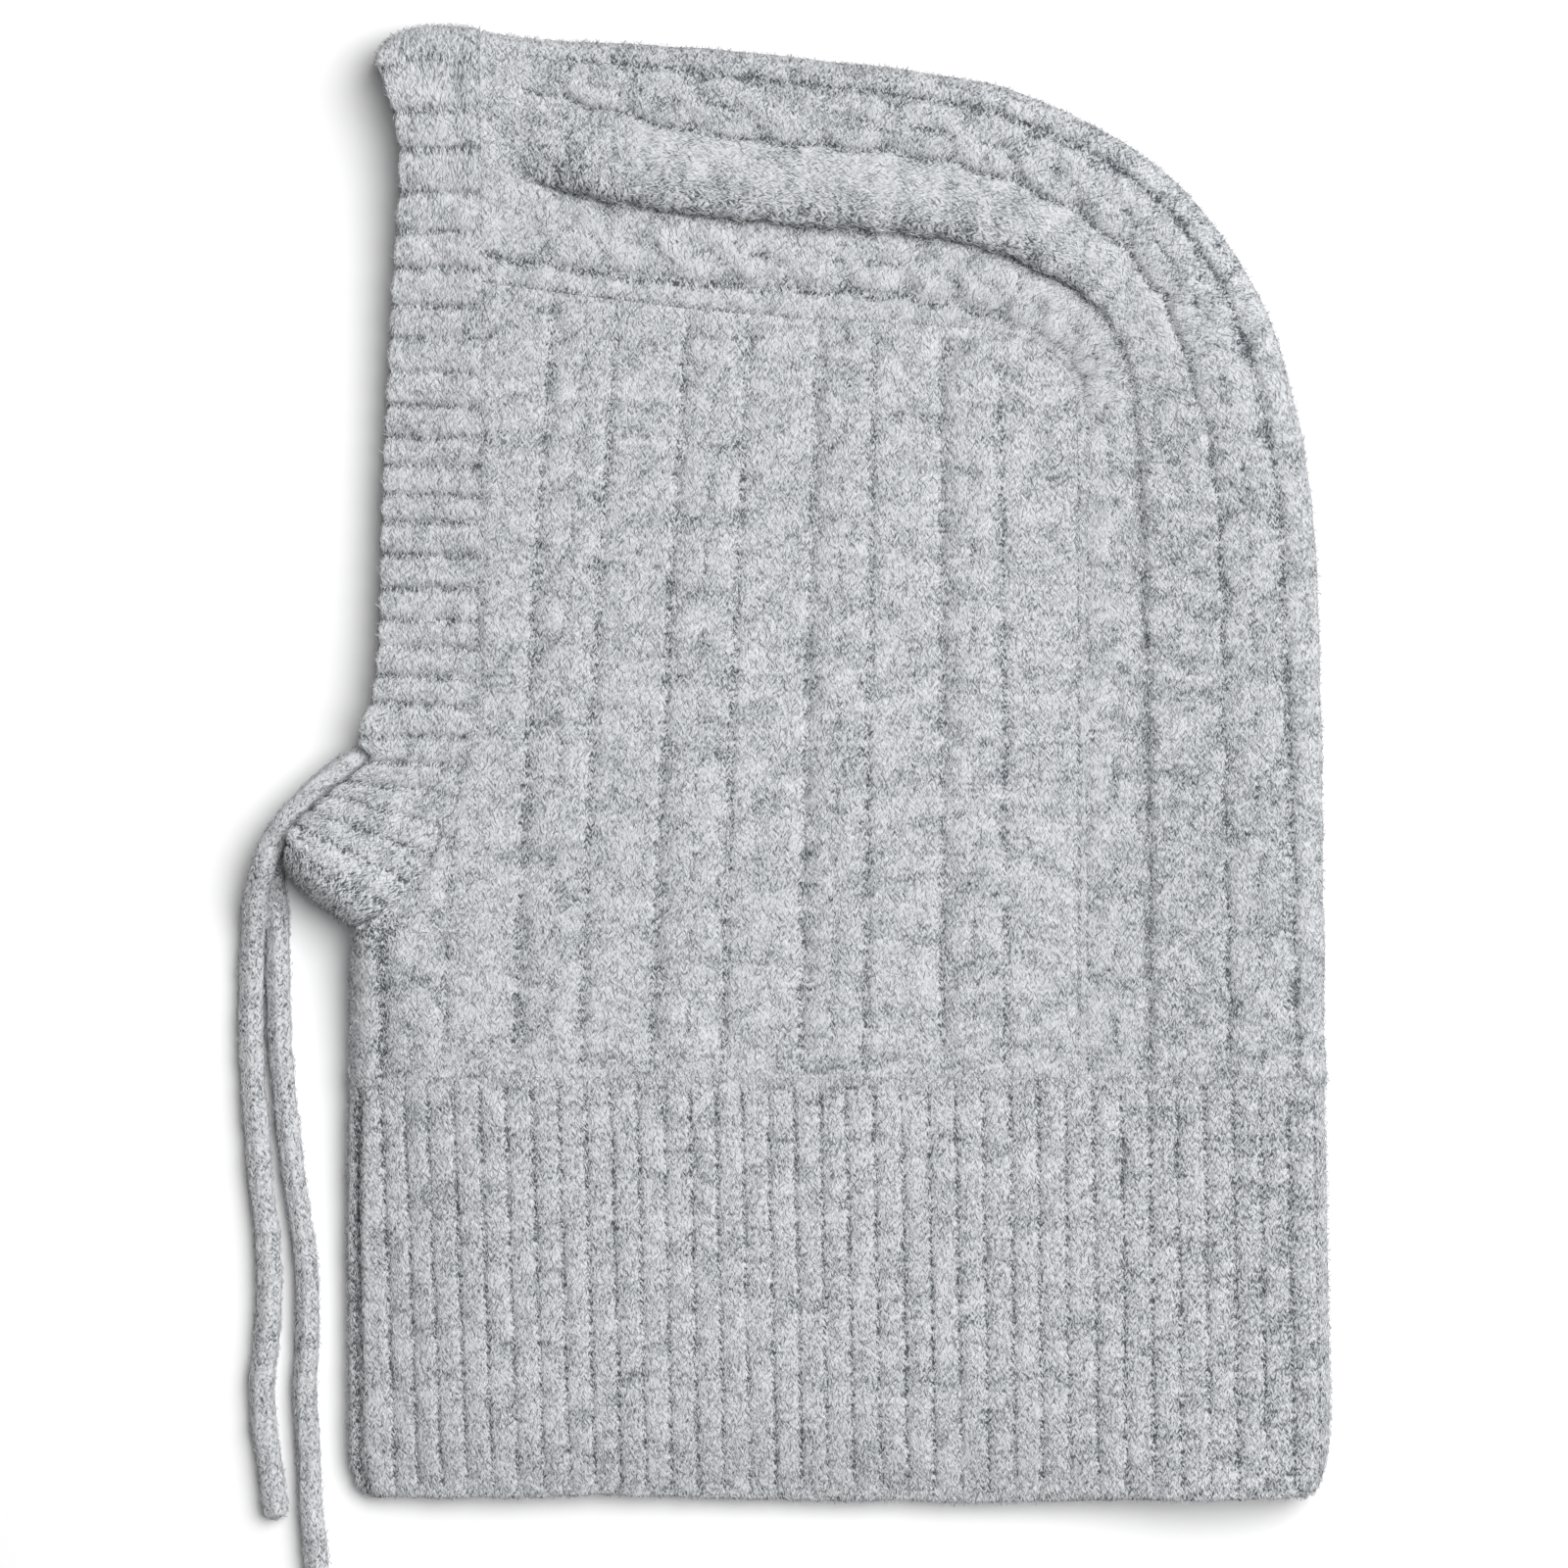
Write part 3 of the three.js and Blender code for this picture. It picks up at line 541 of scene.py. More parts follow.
class Shell:
    """A closed sheet of knit: fine outer side, coarser inner side, rounded rims between them."""

    def __init__(self, base, relief, thickness, closed=False, present=None, step=3):
        self.closed = closed
        self.step = step
        self.rows, self.cols = base.shape[:2]
        self.cells = self.cols if closed else self.cols - 1
        self.present = np.ones((self.rows - 1, self.cells), bool) if present is None else present
        self.normal = surface_normals(base, closed)
        self.outer = lift_from_table(base + self.normal * relief[..., None])
        self.inner = base - self.normal * thickness[..., None]
        self.points = []
        self.count = 0
        self.faces = []
        self.face_uv = []
        self.sharp = []

    def add_points(self, places):
        first = self.count
        self.points.append(np.asarray(places).reshape(-1, 3))
        self.count += len(self.points[-1])
        return first

    def rim_edges(self):
        """Edges between a filled coarse cell and an empty one, as pairs of grid corners."""
        k = self.step
        rows = (self.rows - 1) // k
        cells = self.cells // k
        filled = self.present[::k, ::k]
        edges = []
        for j in range(rows):
            for i in range(cells):
                if not filled[j, i]:
                    continue
                left = (i - 1) % cells if self.closed else i - 1
                right = (i + 1) % cells if self.closed else i + 1
                a, b = (j * k, i * k), (j * k, (i + 1) * k)
                c, d = ((j + 1) * k, (i + 1) * k), ((j + 1) * k, i * k)
                if j == 0 or not filled[j - 1, i]:
                    edges.append((a, b))
                if right >= cells or not filled[j, right]:
                    edges.append((b, c))
                if j == rows - 1 or not filled[j + 1, i]:
                    edges.append((c, d))
                if left < 0 or not filled[j, left]:
                    edges.append((d, a))
        return edges

    def build(self, uv, rim_rows, rounded_row=None, lip=0.0):
        """Makes the vertex, face and UV lists. All rims are sharp but the one at rounded_row."""
        cols, k = self.cols, self.step
        outer_first = self.add_points(self.outer)
        j, i = np.nonzero(self.present)
        after = (i + 1) % cols
        corners = [(j, i, i), (j, after, i + 1), (j + 1, after, i + 1), (j + 1, i, i)]
        self.faces.append(np.stack([outer_first + r * cols + c for r, c, _ in corners], axis=1))
        self.face_uv.append(np.stack([uv[r, u] for r, _, u in corners], axis=1))

        coarse = self.cells // k + (0 if self.closed else 1)
        inner_first = self.add_points(self.inner[::k, ::k][:, :coarse])
        j, i = np.nonzero(self.present[::k, ::k])
        after = (i + 1) % coarse
        corners = [(j, i, i), (j + 1, i, i), (j + 1, after, i + 1), (j, after, i + 1)]
        self.faces.append(np.stack([inner_first + r * coarse + c for r, c, _ in corners], axis=1))
        self.face_uv.append(np.stack([uv[r * k, u * k] for r, _, u in corners], axis=1))

        def coarse_point(corner):
            return inner_first + (corner[0] // k) * coarse + corner[1] // k

        self.add_rims(uv, rim_rows, rounded_row, lip, outer_first, coarse_point)

    def rim_pushes(self, edges):
        """The way out of the cloth at each corner of its rims."""
        away = {}
        for ends in edges:
            a, b = ((row, col % self.cols) for row, col in ends)
            run = self.inner[b] - self.inner[a]
            run = run / max(np.linalg.norm(run), 1e-9)
            for corner in (a, b):
                away[corner] = away.get(corner, np.zeros(3)) + np.cross(run, self.normal[corner])
        # The push must point away from the cloth, whichever way the grid turns
        row, col = edges[0][0]
        corner = (row, col % self.cols)
        inside = self.inner[min(row + self.step, self.rows - 1), corner[1]]
        turn = -1.0 if np.dot(away[corner], inside - self.inner[corner]) > 0 else 1.0
        return {corner: push * turn for corner, push in away.items()}

    def add_rims(self, uv, rim_rows, rounded_row, lip, outer_first, coarse_point):
        k = self.step
        middle = (k + 1) // 2
        edges = self.rim_edges()
        away = self.rim_pushes(edges)
        made = {}

        def rim_point(corner, push, part, bulge):
            if (corner, part) not in made:
                angle = np.pi * part / (rim_rows + 1)
                place = mix(self.outer[corner], self.inner[corner], 0.5 - 0.5 * np.cos(angle))
                place = place + push * bulge * np.sin(angle)
                place[2] = max(place[2], TABLE_CLEARANCE)
                made[corner, part] = self.add_points(place)
            return made[corner, part]

        for start, end in edges:
            steps = [
                tuple(round(mix(a, b, n / k)) for a, b in zip(start, end)) for n in range(k + 1)
            ]
            corners = [(row, col % self.cols) for row, col in steps]
            pushes = []
            for n in range(k + 1):
                push = mix(away[corners[0]], away[corners[-1]], n / k)
                pushes.append(push / max(np.linalg.norm(push), 1e-9))
            rounded = min(start[0], end[0]) == rounded_row
            bulge = lip if rounded else 0.0
            rings = [[outer_first + row * self.cols + col for row, col in corners]]
            for part in range(1, rim_rows + 1):
                ring = [rim_point(c, push, part, bulge) for c, push in zip(corners, pushes)]
                rings.append(ring)
            spots = [uv[row, min(col, uv.shape[1] - 1)] for row, col in steps]
            for upper, lower in zip(rings, rings[1:]):
                for n in range(k):
                    self.add_face(
                        [upper[n + 1], upper[n], lower[n], lower[n + 1]],
                        [spots[n + 1], spots[n], spots[n], spots[n + 1]],
                    )
            # The fine rim meets the coarse inner side in a small fan
            last = rings[-1]
            near = coarse_point(corners[0])
            far = coarse_point(corners[-1])
            for n in range(k):
                anchor, anchor_uv = (near, spots[0]) if n < middle else (far, spots[-1])
                self.add_face([last[n + 1], last[n], anchor], [spots[n + 1], spots[n], anchor_uv])
            self.add_face([last[middle], near, far], [spots[middle], spots[0], spots[-1]])
            if not rounded:
                self.sharp.extend(zip(rings[0], rings[0][1:]))

    def add_face(self, corners, corner_uv):
        self.faces.append(np.array([corners]))
        self.face_uv.append(np.array([corner_uv]))

    def to_object(self, name, values):
        """Its mesh object; values holds a grid of numbers for the outer side by their names."""
        polygons = [corners for faces in self.faces for corners in faces.tolist()]
        loop_uv = np.vstack([np.asarray(uvs, float).reshape(-1, 2) for uvs in self.face_uv])
        numbers = {}
        for label, grid in values.items():
            rest = np.zeros((self.count - self.rows * self.cols, *grid.shape[2:]))
            numbers[label] = np.concatenate([grid.reshape(-1, *grid.shape[2:]), rest])
        return closed_mesh(name, np.vstack(self.points), polygons, loop_uv, numbers, self.sharp)


def closed_mesh(name, points, polygons, loop_uv, numbers, sharp=()):
    """A smooth closed mesh object, in metres, that faces outwards.

    points are in millimetres, numbers holds one number or vector for each point by its name,
    and sharp lists the edges that stay sharp.
    """
    mesh = bpy.data.meshes.new(name)
    mesh.from_pydata((points * MM).tolist(), [], polygons)
    layer = mesh.uv_layers.new(name="stitches")
    layer.data.foreach_set("uv", np.asarray(loop_uv, np.float32).ravel())
    for label, values in numbers.items():
        kind, key = ("FLOAT_VECTOR", "vector") if values.ndim == 2 else ("FLOAT", "value")
        attribute = mesh.attributes.new(label, kind, "POINT")
        attribute.data.foreach_set(key, values.astype(np.float32).ravel())
    mesh.polygons.foreach_set("use_smooth", np.ones(len(mesh.polygons), bool))
    if sharp:
        wanted = {tuple(sorted(pair)) for pair in sharp}
        ends = np.zeros(len(mesh.edges) * 2, int)
        mesh.edges.foreach_get("vertices", ends)
        ends = np.sort(ends.reshape(-1, 2), axis=1)
        marks = [tuple(pair) in wanted for pair in ends.tolist()]
        mesh.edges.foreach_set("use_edge_sharp", np.array(marks, bool))
    if signed_volume(mesh) < 0:
        mesh.flip_normals()
    mesh.update()
    piece = bpy.data.objects.new(name, mesh)
    bpy.context.scene.collection.objects.link(piece)
    return piece


def signed_volume(mesh):
    mesh.calc_loop_triangles()
    corners = np.zeros(len(mesh.loop_triangles) * 3, int)
    mesh.loop_triangles.foreach_get("vertices", corners)
    places = np.zeros(len(mesh.vertices) * 3)
    mesh.vertices.foreach_get("co", places)
    a, b, c = places.reshape(-1, 3)[corners.reshape(-1, 3)].transpose(1, 0, 2)
    return float(np.sum(np.cross(a, b) * c)) / 6


# Materials

def add_node(tree, kind, inputs=(), stops=(), **attributes):
    """Adds a node with its settings and links, and returns its outputs.

    inputs is a row in socket order, or a dict by socket name or number: an output of another
    node is linked and anything else is set. stops are the places and colours of a ramp.
    """
    node = tree.nodes.new(kind)
    for name, value in attributes.items():
        setattr(node, name, value)
    for key, value in inputs.items() if isinstance(inputs, dict) else enumerate(inputs):
        if isinstance(value, bpy.types.NodeSocket):
            tree.links.new(value, node.inputs[key])
        else:
            node.inputs[key].default_value = value
    if stops:
        elements = node.color_ramp.elements
        elements[0].position = stops[0][0]
        elements[1].position = stops[-1][0]
        for position, _ in stops[1:-1]:
            elements.new(position)
        for element, (_, colour) in zip(elements, stops):
            element.color = colour
    return node.outputs


def empty_material(name):
    """A new material without nodes, and the function that adds nodes to it."""
    material = bpy.data.materials.new(name)
    material.use_nodes = True
    material.node_tree.nodes.clear()
    return material, partial(add_node, material.node_tree)


def brushed_wool_marl(name, wool, line_period=0.0, strokes_lie="along", crisp=1.0,
                      line_reach=0.75, line_gaps=0.3):
    """Brushed wool marl in plain knit: soft, matt, pale and dark fibres twisted in one yarn.

    To the eye it gives dark and pale strokes about 1.5 mm long that lean left and right
    along the legs of the stitches, clouds of lighter and darker grey, and no gloss. Purl
    lines repeat every line_period stitches. strokes_lie says whether the nap was brushed
    along the columns, across them, or mixed as the across attribute tells. crisp raises the
    contrast of the strokes. line_reach is how far a purl line darkens the wool, in stitches,
    and line_gaps is the share of its strength that comes and goes.
    """
    material, add = empty_material(name)
    place = add("ShaderNodeTexCoord")["Object"]
    knit = add("ShaderNodeUVMap", uv_map="stitches")["UV"]
    stitch = add("ShaderNodeSeparateXYZ", [knit])
    drift = add(
        "ShaderNodeTexNoise",
        {"Vector": place, "Scale": DRIFT_SCALE, "Detail": 2.0, "Roughness": 0.6},
    )["Color"]
    drift = add("ShaderNodeSeparateColor", [drift])
    u = add("ShaderNodeMath", (drift[0], DRIFT_ACROSS, stitch[0]), operation="MULTIPLY_ADD")[0]
    v = add("ShaderNodeMath", (drift[1], DRIFT_ALONG, stitch[1]), operation="MULTIPLY_ADD")[0]

    def strokes(run, across, shift):
        """Strokes of fibre that lean left in one half of a stitch and right in the other."""
        halves = []
        for side in (-1, 1):
            slanted = add(
                "ShaderNodeMath", (run, side * STROKE_LEAN, across), operation="MULTIPLY_ADD")[0]
            spot_u = add(
                "ShaderNodeMath", (slanted, STROKE_ACROSS, 57.0 * side + shift),
                operation="MULTIPLY_ADD",
            )[0]
            spot_v = add("ShaderNodeMath", (run, STROKE_ALONG), operation="MULTIPLY")[0]
            spot = add("ShaderNodeCombineXYZ", (spot_u, spot_v))[0]
            halves.append(add(
                "ShaderNodeTexNoise",
                {"Vector": spot, "Scale": 1.0, "Detail": 2.5, "Roughness": 0.62},
                noise_dimensions="2D",
            )["Fac"])
        turn = add("ShaderNodeMath", (across, 2 * math.pi), operation="MULTIPLY")[0]
        wave = add("ShaderNodeMath", [turn], operation="SINE")[0]
        half = add(
            "ShaderNodeMapRange", {"Value": wave, "From Min": -0.4, "From Max": 0.4},
            interpolation_type="SMOOTHSTEP",
        )[0]
        return add("ShaderNodeMix", {0: half, 2: halves[0], 3: halves[1]})[0]

    if strokes_lie != "across":
        stroke = strokes(v, u, 0.0)
    if strokes_lie != "along":
        run = add("ShaderNodeMath", (u, 1.3), operation="MULTIPLY")[0]
        across = add("ShaderNodeMath", (v, 0.77), operation="MULTIPLY")[0]
        turned = strokes(run, across, 11.0)
    if strokes_lie == "across":
        stroke = turned
    if strokes_lie == "mixed":
        share = add("ShaderNodeAttribute", attribute_name="across")["Fac"]
        stroke = add("ShaderNodeMix", {0: share, 2: stroke, 3: turned})[0]

    # Stitches show through the nap as a faint row of V shapes: each leg is painted lighter in its
    # middle and darker where the legs meet, as shade
    from_side = add("ShaderNodeMath", (u, 0.5), operation="PINGPONG")[0]
    from_middle = add("ShaderNodeMath", (from_side, -2.0, 1.0), operation="MULTIPLY_ADD")[0]
    in_course = add("ShaderNodeMath", (v, from_middle), operation="SUBTRACT")[0]
    in_course = add("ShaderNodeMath", [in_course], operation="FRACT")[0]
    in_course = add("ShaderNodeMath", (in_course, math.pi), operation="MULTIPLY")[0]
    leg_round = add("ShaderNodeMath", [in_course], operation="SINE")[0]

    # Clouds: the marl runs along the yarn, so they are wider than high
    spot = add("ShaderNodeVectorMath", (knit, (0.16, 0.21, 1.0)), operation="MULTIPLY")[0]
    cloud = add(
        "ShaderNodeTexNoise", {"Vector": spot, "Scale": 1.0, "Detail": 4.0, "Roughness": 0.6},
        noise_dimensions="2D",
    )["Fac"]
    patch = add(
        "ShaderNodeTexNoise",
        {"Vector": place, "Scale": PATCH_SCALE, "Detail": 3.0, "Roughness": 0.6},
    )["Fac"]
    fluff = add(
        "ShaderNodeTexNoise",
        {"Vector": place, "Scale": FLUFF_SCALE, "Detail": 2.0, "Roughness": 0.6},
    )["Fac"]

    dark = DARK_LEVEL - 0.5 * STROKE_SHARE * (crisp - 1)
    patterns = (
        (stroke, STROKE_SHARE * crisp), (cloud, CLOUD_SHARE), (patch, PATCH_SHARE),
        (fluff, FLUFF_SHARE), (leg_round, -STITCH_SHARE),
    )
    for pattern, share in patterns:
        dark = add("ShaderNodeMath", (pattern, share, dark), operation="MULTIPLY_ADD")[0]

    # Painted shade in the grooves and on shaded parts of each piece, and its dark purl and seam lines,
    # come from this attribute
    shade_and_lines = add("ShaderNodeAttribute", attribute_name="shade_and_lines")["Fac"]
    if line_period:
        spot = add("ShaderNodeMath", (drift[0], 0.35, stitch[0]), operation="MULTIPLY_ADD")[0]
        spot = add("ShaderNodeMath", (patch, 0.3, spot), operation="MULTIPLY_ADD")[0]
        spot = add("ShaderNodeMath", (spot, 0.325), operation="SUBTRACT")[0]
        off_line = add("ShaderNodeMath", (spot, line_period / 2), operation="PINGPONG")[0]
        line = add(
            "ShaderNodeMapRange",
            {"Value": off_line, "From Max": line_reach, "To Min": 1.0, "To Max": 0.0},
            interpolation_type="SMOOTHSTEP",
        )[0]
        present = add(
            "ShaderNodeMapRange",
            {"Value": patch, "From Min": 0.38, "From Max": 0.62, "To Min": 1 - line_gaps,
             "To Max": 1 + 0.25 * line_gaps},
            interpolation_type="SMOOTHSTEP",
        )[0]
        line = add("ShaderNodeMath", (line, present), operation="MULTIPLY")[0]
        strength = add("ShaderNodeAttribute", attribute_name="line")["Fac"]
        shade_and_lines = add("ShaderNodeMath", (line, strength, shade_and_lines), operation="MULTIPLY_ADD")[0]
    # In a groove the dark strokes gain most, so that a line is a row of dark flecks
    spot = add("ShaderNodeVectorMath", (knit, (0.5, 0.85, 1.0)), operation="MULTIPLY")[0]
    bead = add(
        "ShaderNodeTexNoise", {"Vector": spot, "Scale": 1.0, "Detail": 2.0, "Roughness": 0.6},
        noise_dimensions="2D",
    )["Fac"]
    for pattern, low, high, least, most in (
        (bead, 0.36, 0.62, 0.42, 1.37), (stroke, 0.44, 0.60, 0.48, 1.33),
    ):
        broken = add(
            "ShaderNodeMapRange",
            {"Value": pattern, "From Min": low, "From Max": high, "To Min": least, "To Max": most},
            interpolation_type="SMOOTHSTEP",
        )[0]
        shade_and_lines = add("ShaderNodeMath", (shade_and_lines, broken), operation="MULTIPLY")[0]
    tick = add("ShaderNodeMath", (leg_round, -0.10, LINE_SHARE), operation="MULTIPLY_ADD")[0]
    dark = add("ShaderNodeMath", (shade_and_lines, tick, dark), operation="MULTIPLY_ADD")[0]

    marl = (
        (0.0, wool.white_fibre), (0.42, wool.pale_fibre), (0.62, wool.grey_fibre),
        (0.80, wool.dark_fibre), (1.0, wool.black_fibre),
    )
    colour = add("ShaderNodeValToRGB", [dark], marl)["Color"]
    raised = add("ShaderNodeMath", (fluff, 0.3), operation="MULTIPLY")[0]
    raised = add("ShaderNodeMath", (dark, -1.0, raised), operation="MULTIPLY_ADD")[0]
    bump = add(
        "ShaderNodeBump", {"Strength": 0.6, "Distance": wool.stitch_depth, "Height": raised})[0]
    cloth = add(
        "ShaderNodeBsdfPrincipled",
        {"Base Color": colour, "Normal": bump, "Roughness": 0.95, "Specular IOR Level": 0.15,
         "Sheen Weight": 0.15, "Sheen Roughness": 0.6},
    )[0]
    add("ShaderNodeOutputMaterial", [cloth])
    return material


def loose_wool_fibre(fuzz):
    """Loose wool fibre raised by brushing: pale, matt hair that softens edges and grooves.

    A real fibre is 0.02 to 0.04 mm thick, too fine to show here, so each one is drawn about
    four times as thick and stands for a few.
    """
    material, add = empty_material("loose_wool_fibre")
    shade = add("ShaderNodeAttribute", attribute_name="shade")["Fac"]
    stops = ((0.05, fuzz.dark), (0.45, fuzz.pale), (1.0, fuzz.white))
    colour = add("ShaderNodeValToRGB", [shade], stops)["Color"]
    hair = add(
        "ShaderNodeBsdfPrincipled",
        {"Base Color": colour, "Roughness": 0.85, "Specular IOR Level": 0.2},
    )[0]
    add("ShaderNodeOutputMaterial", [hair])
    return material


def seamless_paper(stage):
    """Matt white background paper: even, without gloss or pattern of its own."""
    material, add = empty_material("seamless_paper")
    place = add("ShaderNodeTexCoord")["Object"]
    grain = add("ShaderNodeTexNoise", {"Vector": place, "Scale": 900.0, "Detail": 2.0})["Fac"]
    bump = add("ShaderNodeBump", {"Strength": 0.05, "Distance": 0.0001, "Height": grain})[0]
    paper = add(
        "ShaderNodeBsdfPrincipled",
        {"Base Color": tuple(stage.floor_colour), "Normal": bump, "Roughness": 1.0,
         "Specular IOR Level": 0.0},
    )[0]
    add("ShaderNodeOutputMaterial", [paper])
    return material


# Loose fibres with Geometry Nodes

def fuzz_tree(material):
    """Geometry Nodes that set bent fibres upright on a surface where its fuzz attribute says."""
    tree = bpy.data.node_groups.new("brushed_fuzz", "GeometryNodeTree")
    add = partial(add_node, tree)
    sizes = (
        ("Geometry", "Geometry"), ("Density", "Float"), ("Fibre Length", "Float"),
        ("Fibre Radius", "Float"), ("Seed", "Int"),
    )
    for label, kind in sizes:
        tree.interface.new_socket(name=label, in_out="INPUT", socket_type="NodeSocket" + kind)
    tree.interface.new_socket(
        name="Geometry", in_out="OUTPUT", socket_type="NodeSocketGeometry")
    given = add("NodeGroupInput")

    # What differs from fibre to fibre, each with a seed of its own
    ranges = (
        ("lean", -1.3, -0.1), ("tilt", -0.30, 0.12), ("twist", -0.95, 0.95), ("turned", 0.0, 1.0),
        ("roll", -0.5, 0.5), ("size", 0.55, 1.35), ("shade", 0.0, 1.0),
    )
    chance = {}
    for step, (label, low, high) in enumerate(ranges, start=1):
        seed = add("ShaderNodeMath", (given["Seed"], step), operation="ADD")[0]
        chance[label] = add(
            "FunctionNodeRandomValue", {2: low, 3: high, "Seed": seed}, data_type="FLOAT")[1]

    fuzz = add("GeometryNodeInputNamedAttribute", {"Name": "fuzz"}, data_type="FLOAT")[0]
    roots = add(
        "GeometryNodeDistributePointsOnFaces",
        {
            "Mesh": given["Geometry"], "Seed": given["Seed"],
            "Density": add("ShaderNodeMath", (fuzz, given["Density"]), operation="MULTIPLY")[0],
        },
        distribute_method="RANDOM",
    )
    # One fibre of unit length: pointed at both ends, with its middle arched over the surface
    arch = add(
        "GeometryNodeCurveQuadraticBezier",
        {"Resolution": 2, "Start": (-0.5, 0, -0.03), "Middle": (0, 0.10, 0.24), "End": (0.5, 0, 0.05)},
    )[0]
    spread = add("GeometryNodeSplineParameter")["Factor"]
    spread = add("ShaderNodeMath", (spread, math.pi), operation="MULTIPLY")[0]
    spread = add("ShaderNodeMath", [spread], operation="SINE")[0]
    tapered = add("GeometryNodeSetCurveRadius", {"Curve": arch, "Radius": spread})[0]
    slim = add(
        "ShaderNodeMath", (given["Fibre Radius"], given["Fibre Length"]), operation="DIVIDE")[0]
    section = add(
        "GeometryNodeCurvePrimitiveCircle", {"Resolution": 3, "Radius": slim}, mode="RADIUS")[0]
    tube = add("GeometryNodeCurveToMesh", {"Curve": tapered, "Profile Curve": section})[0]
    fibre = add("GeometryNodeMergeByDistance", {"Geometry": tube, "Distance": 0.0005})[0]

    # A fibre lies along the nap, turned a little to one side, and stands up at the outline
    lie = add("GeometryNodeInputNamedAttribute", {"Name": "lie"}, data_type="FLOAT_VECTOR")[0]
    along_nap = add(
        "FunctionNodeAxesToRotation", {"Primary Axis": roots["Normal"], "Secondary Axis": lie},
        primary_axis="Z", secondary_axis="X",
    )[0]
    upright = add("GeometryNodeInputNamedAttribute", {"Name": "upright"}, data_type="FLOAT")[0]
    tilt = add(
        "ShaderNodeMath", (upright, chance["lean"], chance["tilt"]), operation="MULTIPLY_ADD")[0]
    end_for_end = add("ShaderNodeMath", [chance["turned"]], operation="ROUND")[0]
    twist = add(
        "ShaderNodeMath", (end_for_end, math.pi, chance["twist"]), operation="MULTIPLY_ADD")[0]
    turn = add("ShaderNodeCombineXYZ", (chance["roll"], tilt, twist))[0]
    turned = add(
        "FunctionNodeRotateRotation", {"Rotation": along_nap, "Rotate By": turn},
        rotation_space="LOCAL",
    )[0]
    size = add("ShaderNodeMath", (chance["size"], given["Fibre Length"]), operation="MULTIPLY")[0]
    planted = add(
        "GeometryNodeInstanceOnPoints",
        {"Points": roots["Points"], "Instance": fibre, "Rotation": turned, "Scale": size},
    )[0]
    shaded = add(
        "GeometryNodeStoreNamedAttribute",
        {"Geometry": planted, "Name": "shade", "Value": chance["shade"]},
        data_type="FLOAT", domain="INSTANCE",
    )[0]
    real = add("GeometryNodeRealizeInstances", [shaded])[0]
    painted = add("GeometryNodeSetMaterial", {"Geometry": real, "Material": material})[0]
    add("NodeGroupOutput", [painted])
    return tree


def raise_fuzz(piece, share, seed_step):
    """A separate plain mesh of loose fibres that stand on a piece."""
    fuzz = bpy.context.scene.balaclava_fuzz
    material = bpy.data.materials.get("loose_wool_fibre") or loose_wool_fibre(fuzz)
    tree = bpy.data.node_groups.get("brushed_fuzz") or fuzz_tree(material)
    modifier = piece.modifiers.new("fuzz", "NODES")
    modifier.node_group = tree
    sizes = {
        "Density": fuzz.density * share, "Fibre Length": fuzz.length,
        "Fibre Radius": fuzz.radius, "Seed": fuzz.seed + seed_step,
    }
    for item in tree.interface.items_tree:
        if item.in_out == "INPUT" and item.name in sizes:
            modifier[item.identifier] = sizes[item.name]
    bpy.context.view_layer.update()
    evaluated = piece.evaluated_get(bpy.context.evaluated_depsgraph_get())
    mesh = bpy.data.meshes.new_from_object(evaluated)
    piece.modifiers.remove(modifier)
    mesh.name = f"{piece.name}_fuzz_{seed_step}"
    fibres = bpy.data.objects.new(mesh.name, mesh)
    bpy.context.scene.collection.objects.link(fibres)
    places = np.zeros(len(mesh.vertices) * 3)
    mesh.vertices.foreach_get("co", places)
    places[2::3] = np.maximum(places[2::3], TABLE_CLEARANCE * MM)
    mesh.vertices.foreach_set("co", places)
    mesh.update()
    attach(fibres, "root")
    return fibres


def finish_knit(piece, node, wool_material, share, seed_steps):
    piece.data.materials.append(wool_material)
    coats = [raise_fuzz(piece, share / len(seed_steps), step) for step in seed_steps]
    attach(piece, "root")
    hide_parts(node)


# Grids of the knit pieces

def round_trip_stations(upper, lower):
    """Stations round a closed row; the lower run is thinned to whole coarse cells."""
    while (len(upper) + len(lower)) % 3:
        lower = np.delete(lower, len(lower) // 2)
    return np.concatenate([upper, lower])


def upper_layer(shape, count):
    """True for the first count stations of each row, which lie in the upper layer."""
    return np.broadcast_to(np.arange(shape[1]) < count, shape).copy()


def closed_uv(u, v, is_upper, round_trip):
    """Stitch places on a closed grid; under the garment they count back from round_trip."""
    uv = np.stack([np.where(is_upper, u, round_trip - u), v], axis=-1)
    turn = uv[:, :1].copy()
    turn[..., 0] = round_trip - turn[..., 0]
    return np.concatenate([uv, turn], axis=1)


def nap(is_upper, fold, lie, to_seam):
    """Where loose fibres grow, how upright they stand and which way they lie.

    They stand up at the outline, are thickest there and over the seams, and are absent
    under the garment.
    """
    outline = bell(fold, 2.6)
    lie = lie / np.maximum(np.linalg.norm(lie, axis=-1, keepdims=True), 1e-9)
    return {
        "fuzz": np.where(is_upper, 0.78 + 0.8 * outline + 0.9 * bell(to_seam, 1.2), 0.5 * outline),
        "upright": outline,
        "lie": lie,
    }


def rib_x(number, y):
    numbers, top, low = np.array(RIB_GROOVES).T
    share = (y - RIB_GROOVE_HEIGHTS[0]) / (RIB_GROOVE_HEIGHTS[1] - RIB_GROOVE_HEIGHTS[0])
    top = np.interp(number, numbers, top)
    low = np.interp(number, numbers, low)
    return mix(top, low, np.clip(share, -0.3, 1.3))


def rib_stations(per_rib, at_folds):
    """Rib numbers from the left fold, -1, to the right fold, one past the last groove."""
    at_fold = from_fold(1, at_folds)
    runs = [between(rib, rib + 1, per_rib) for rib in range(RIB_COUNT)]
    right = RIB_COUNT + 1 - at_fold[::-1]
    return np.concatenate([-1 + at_fold, *runs, [RIB_COUNT], right[:-1], [RIB_COUNT + 1]])


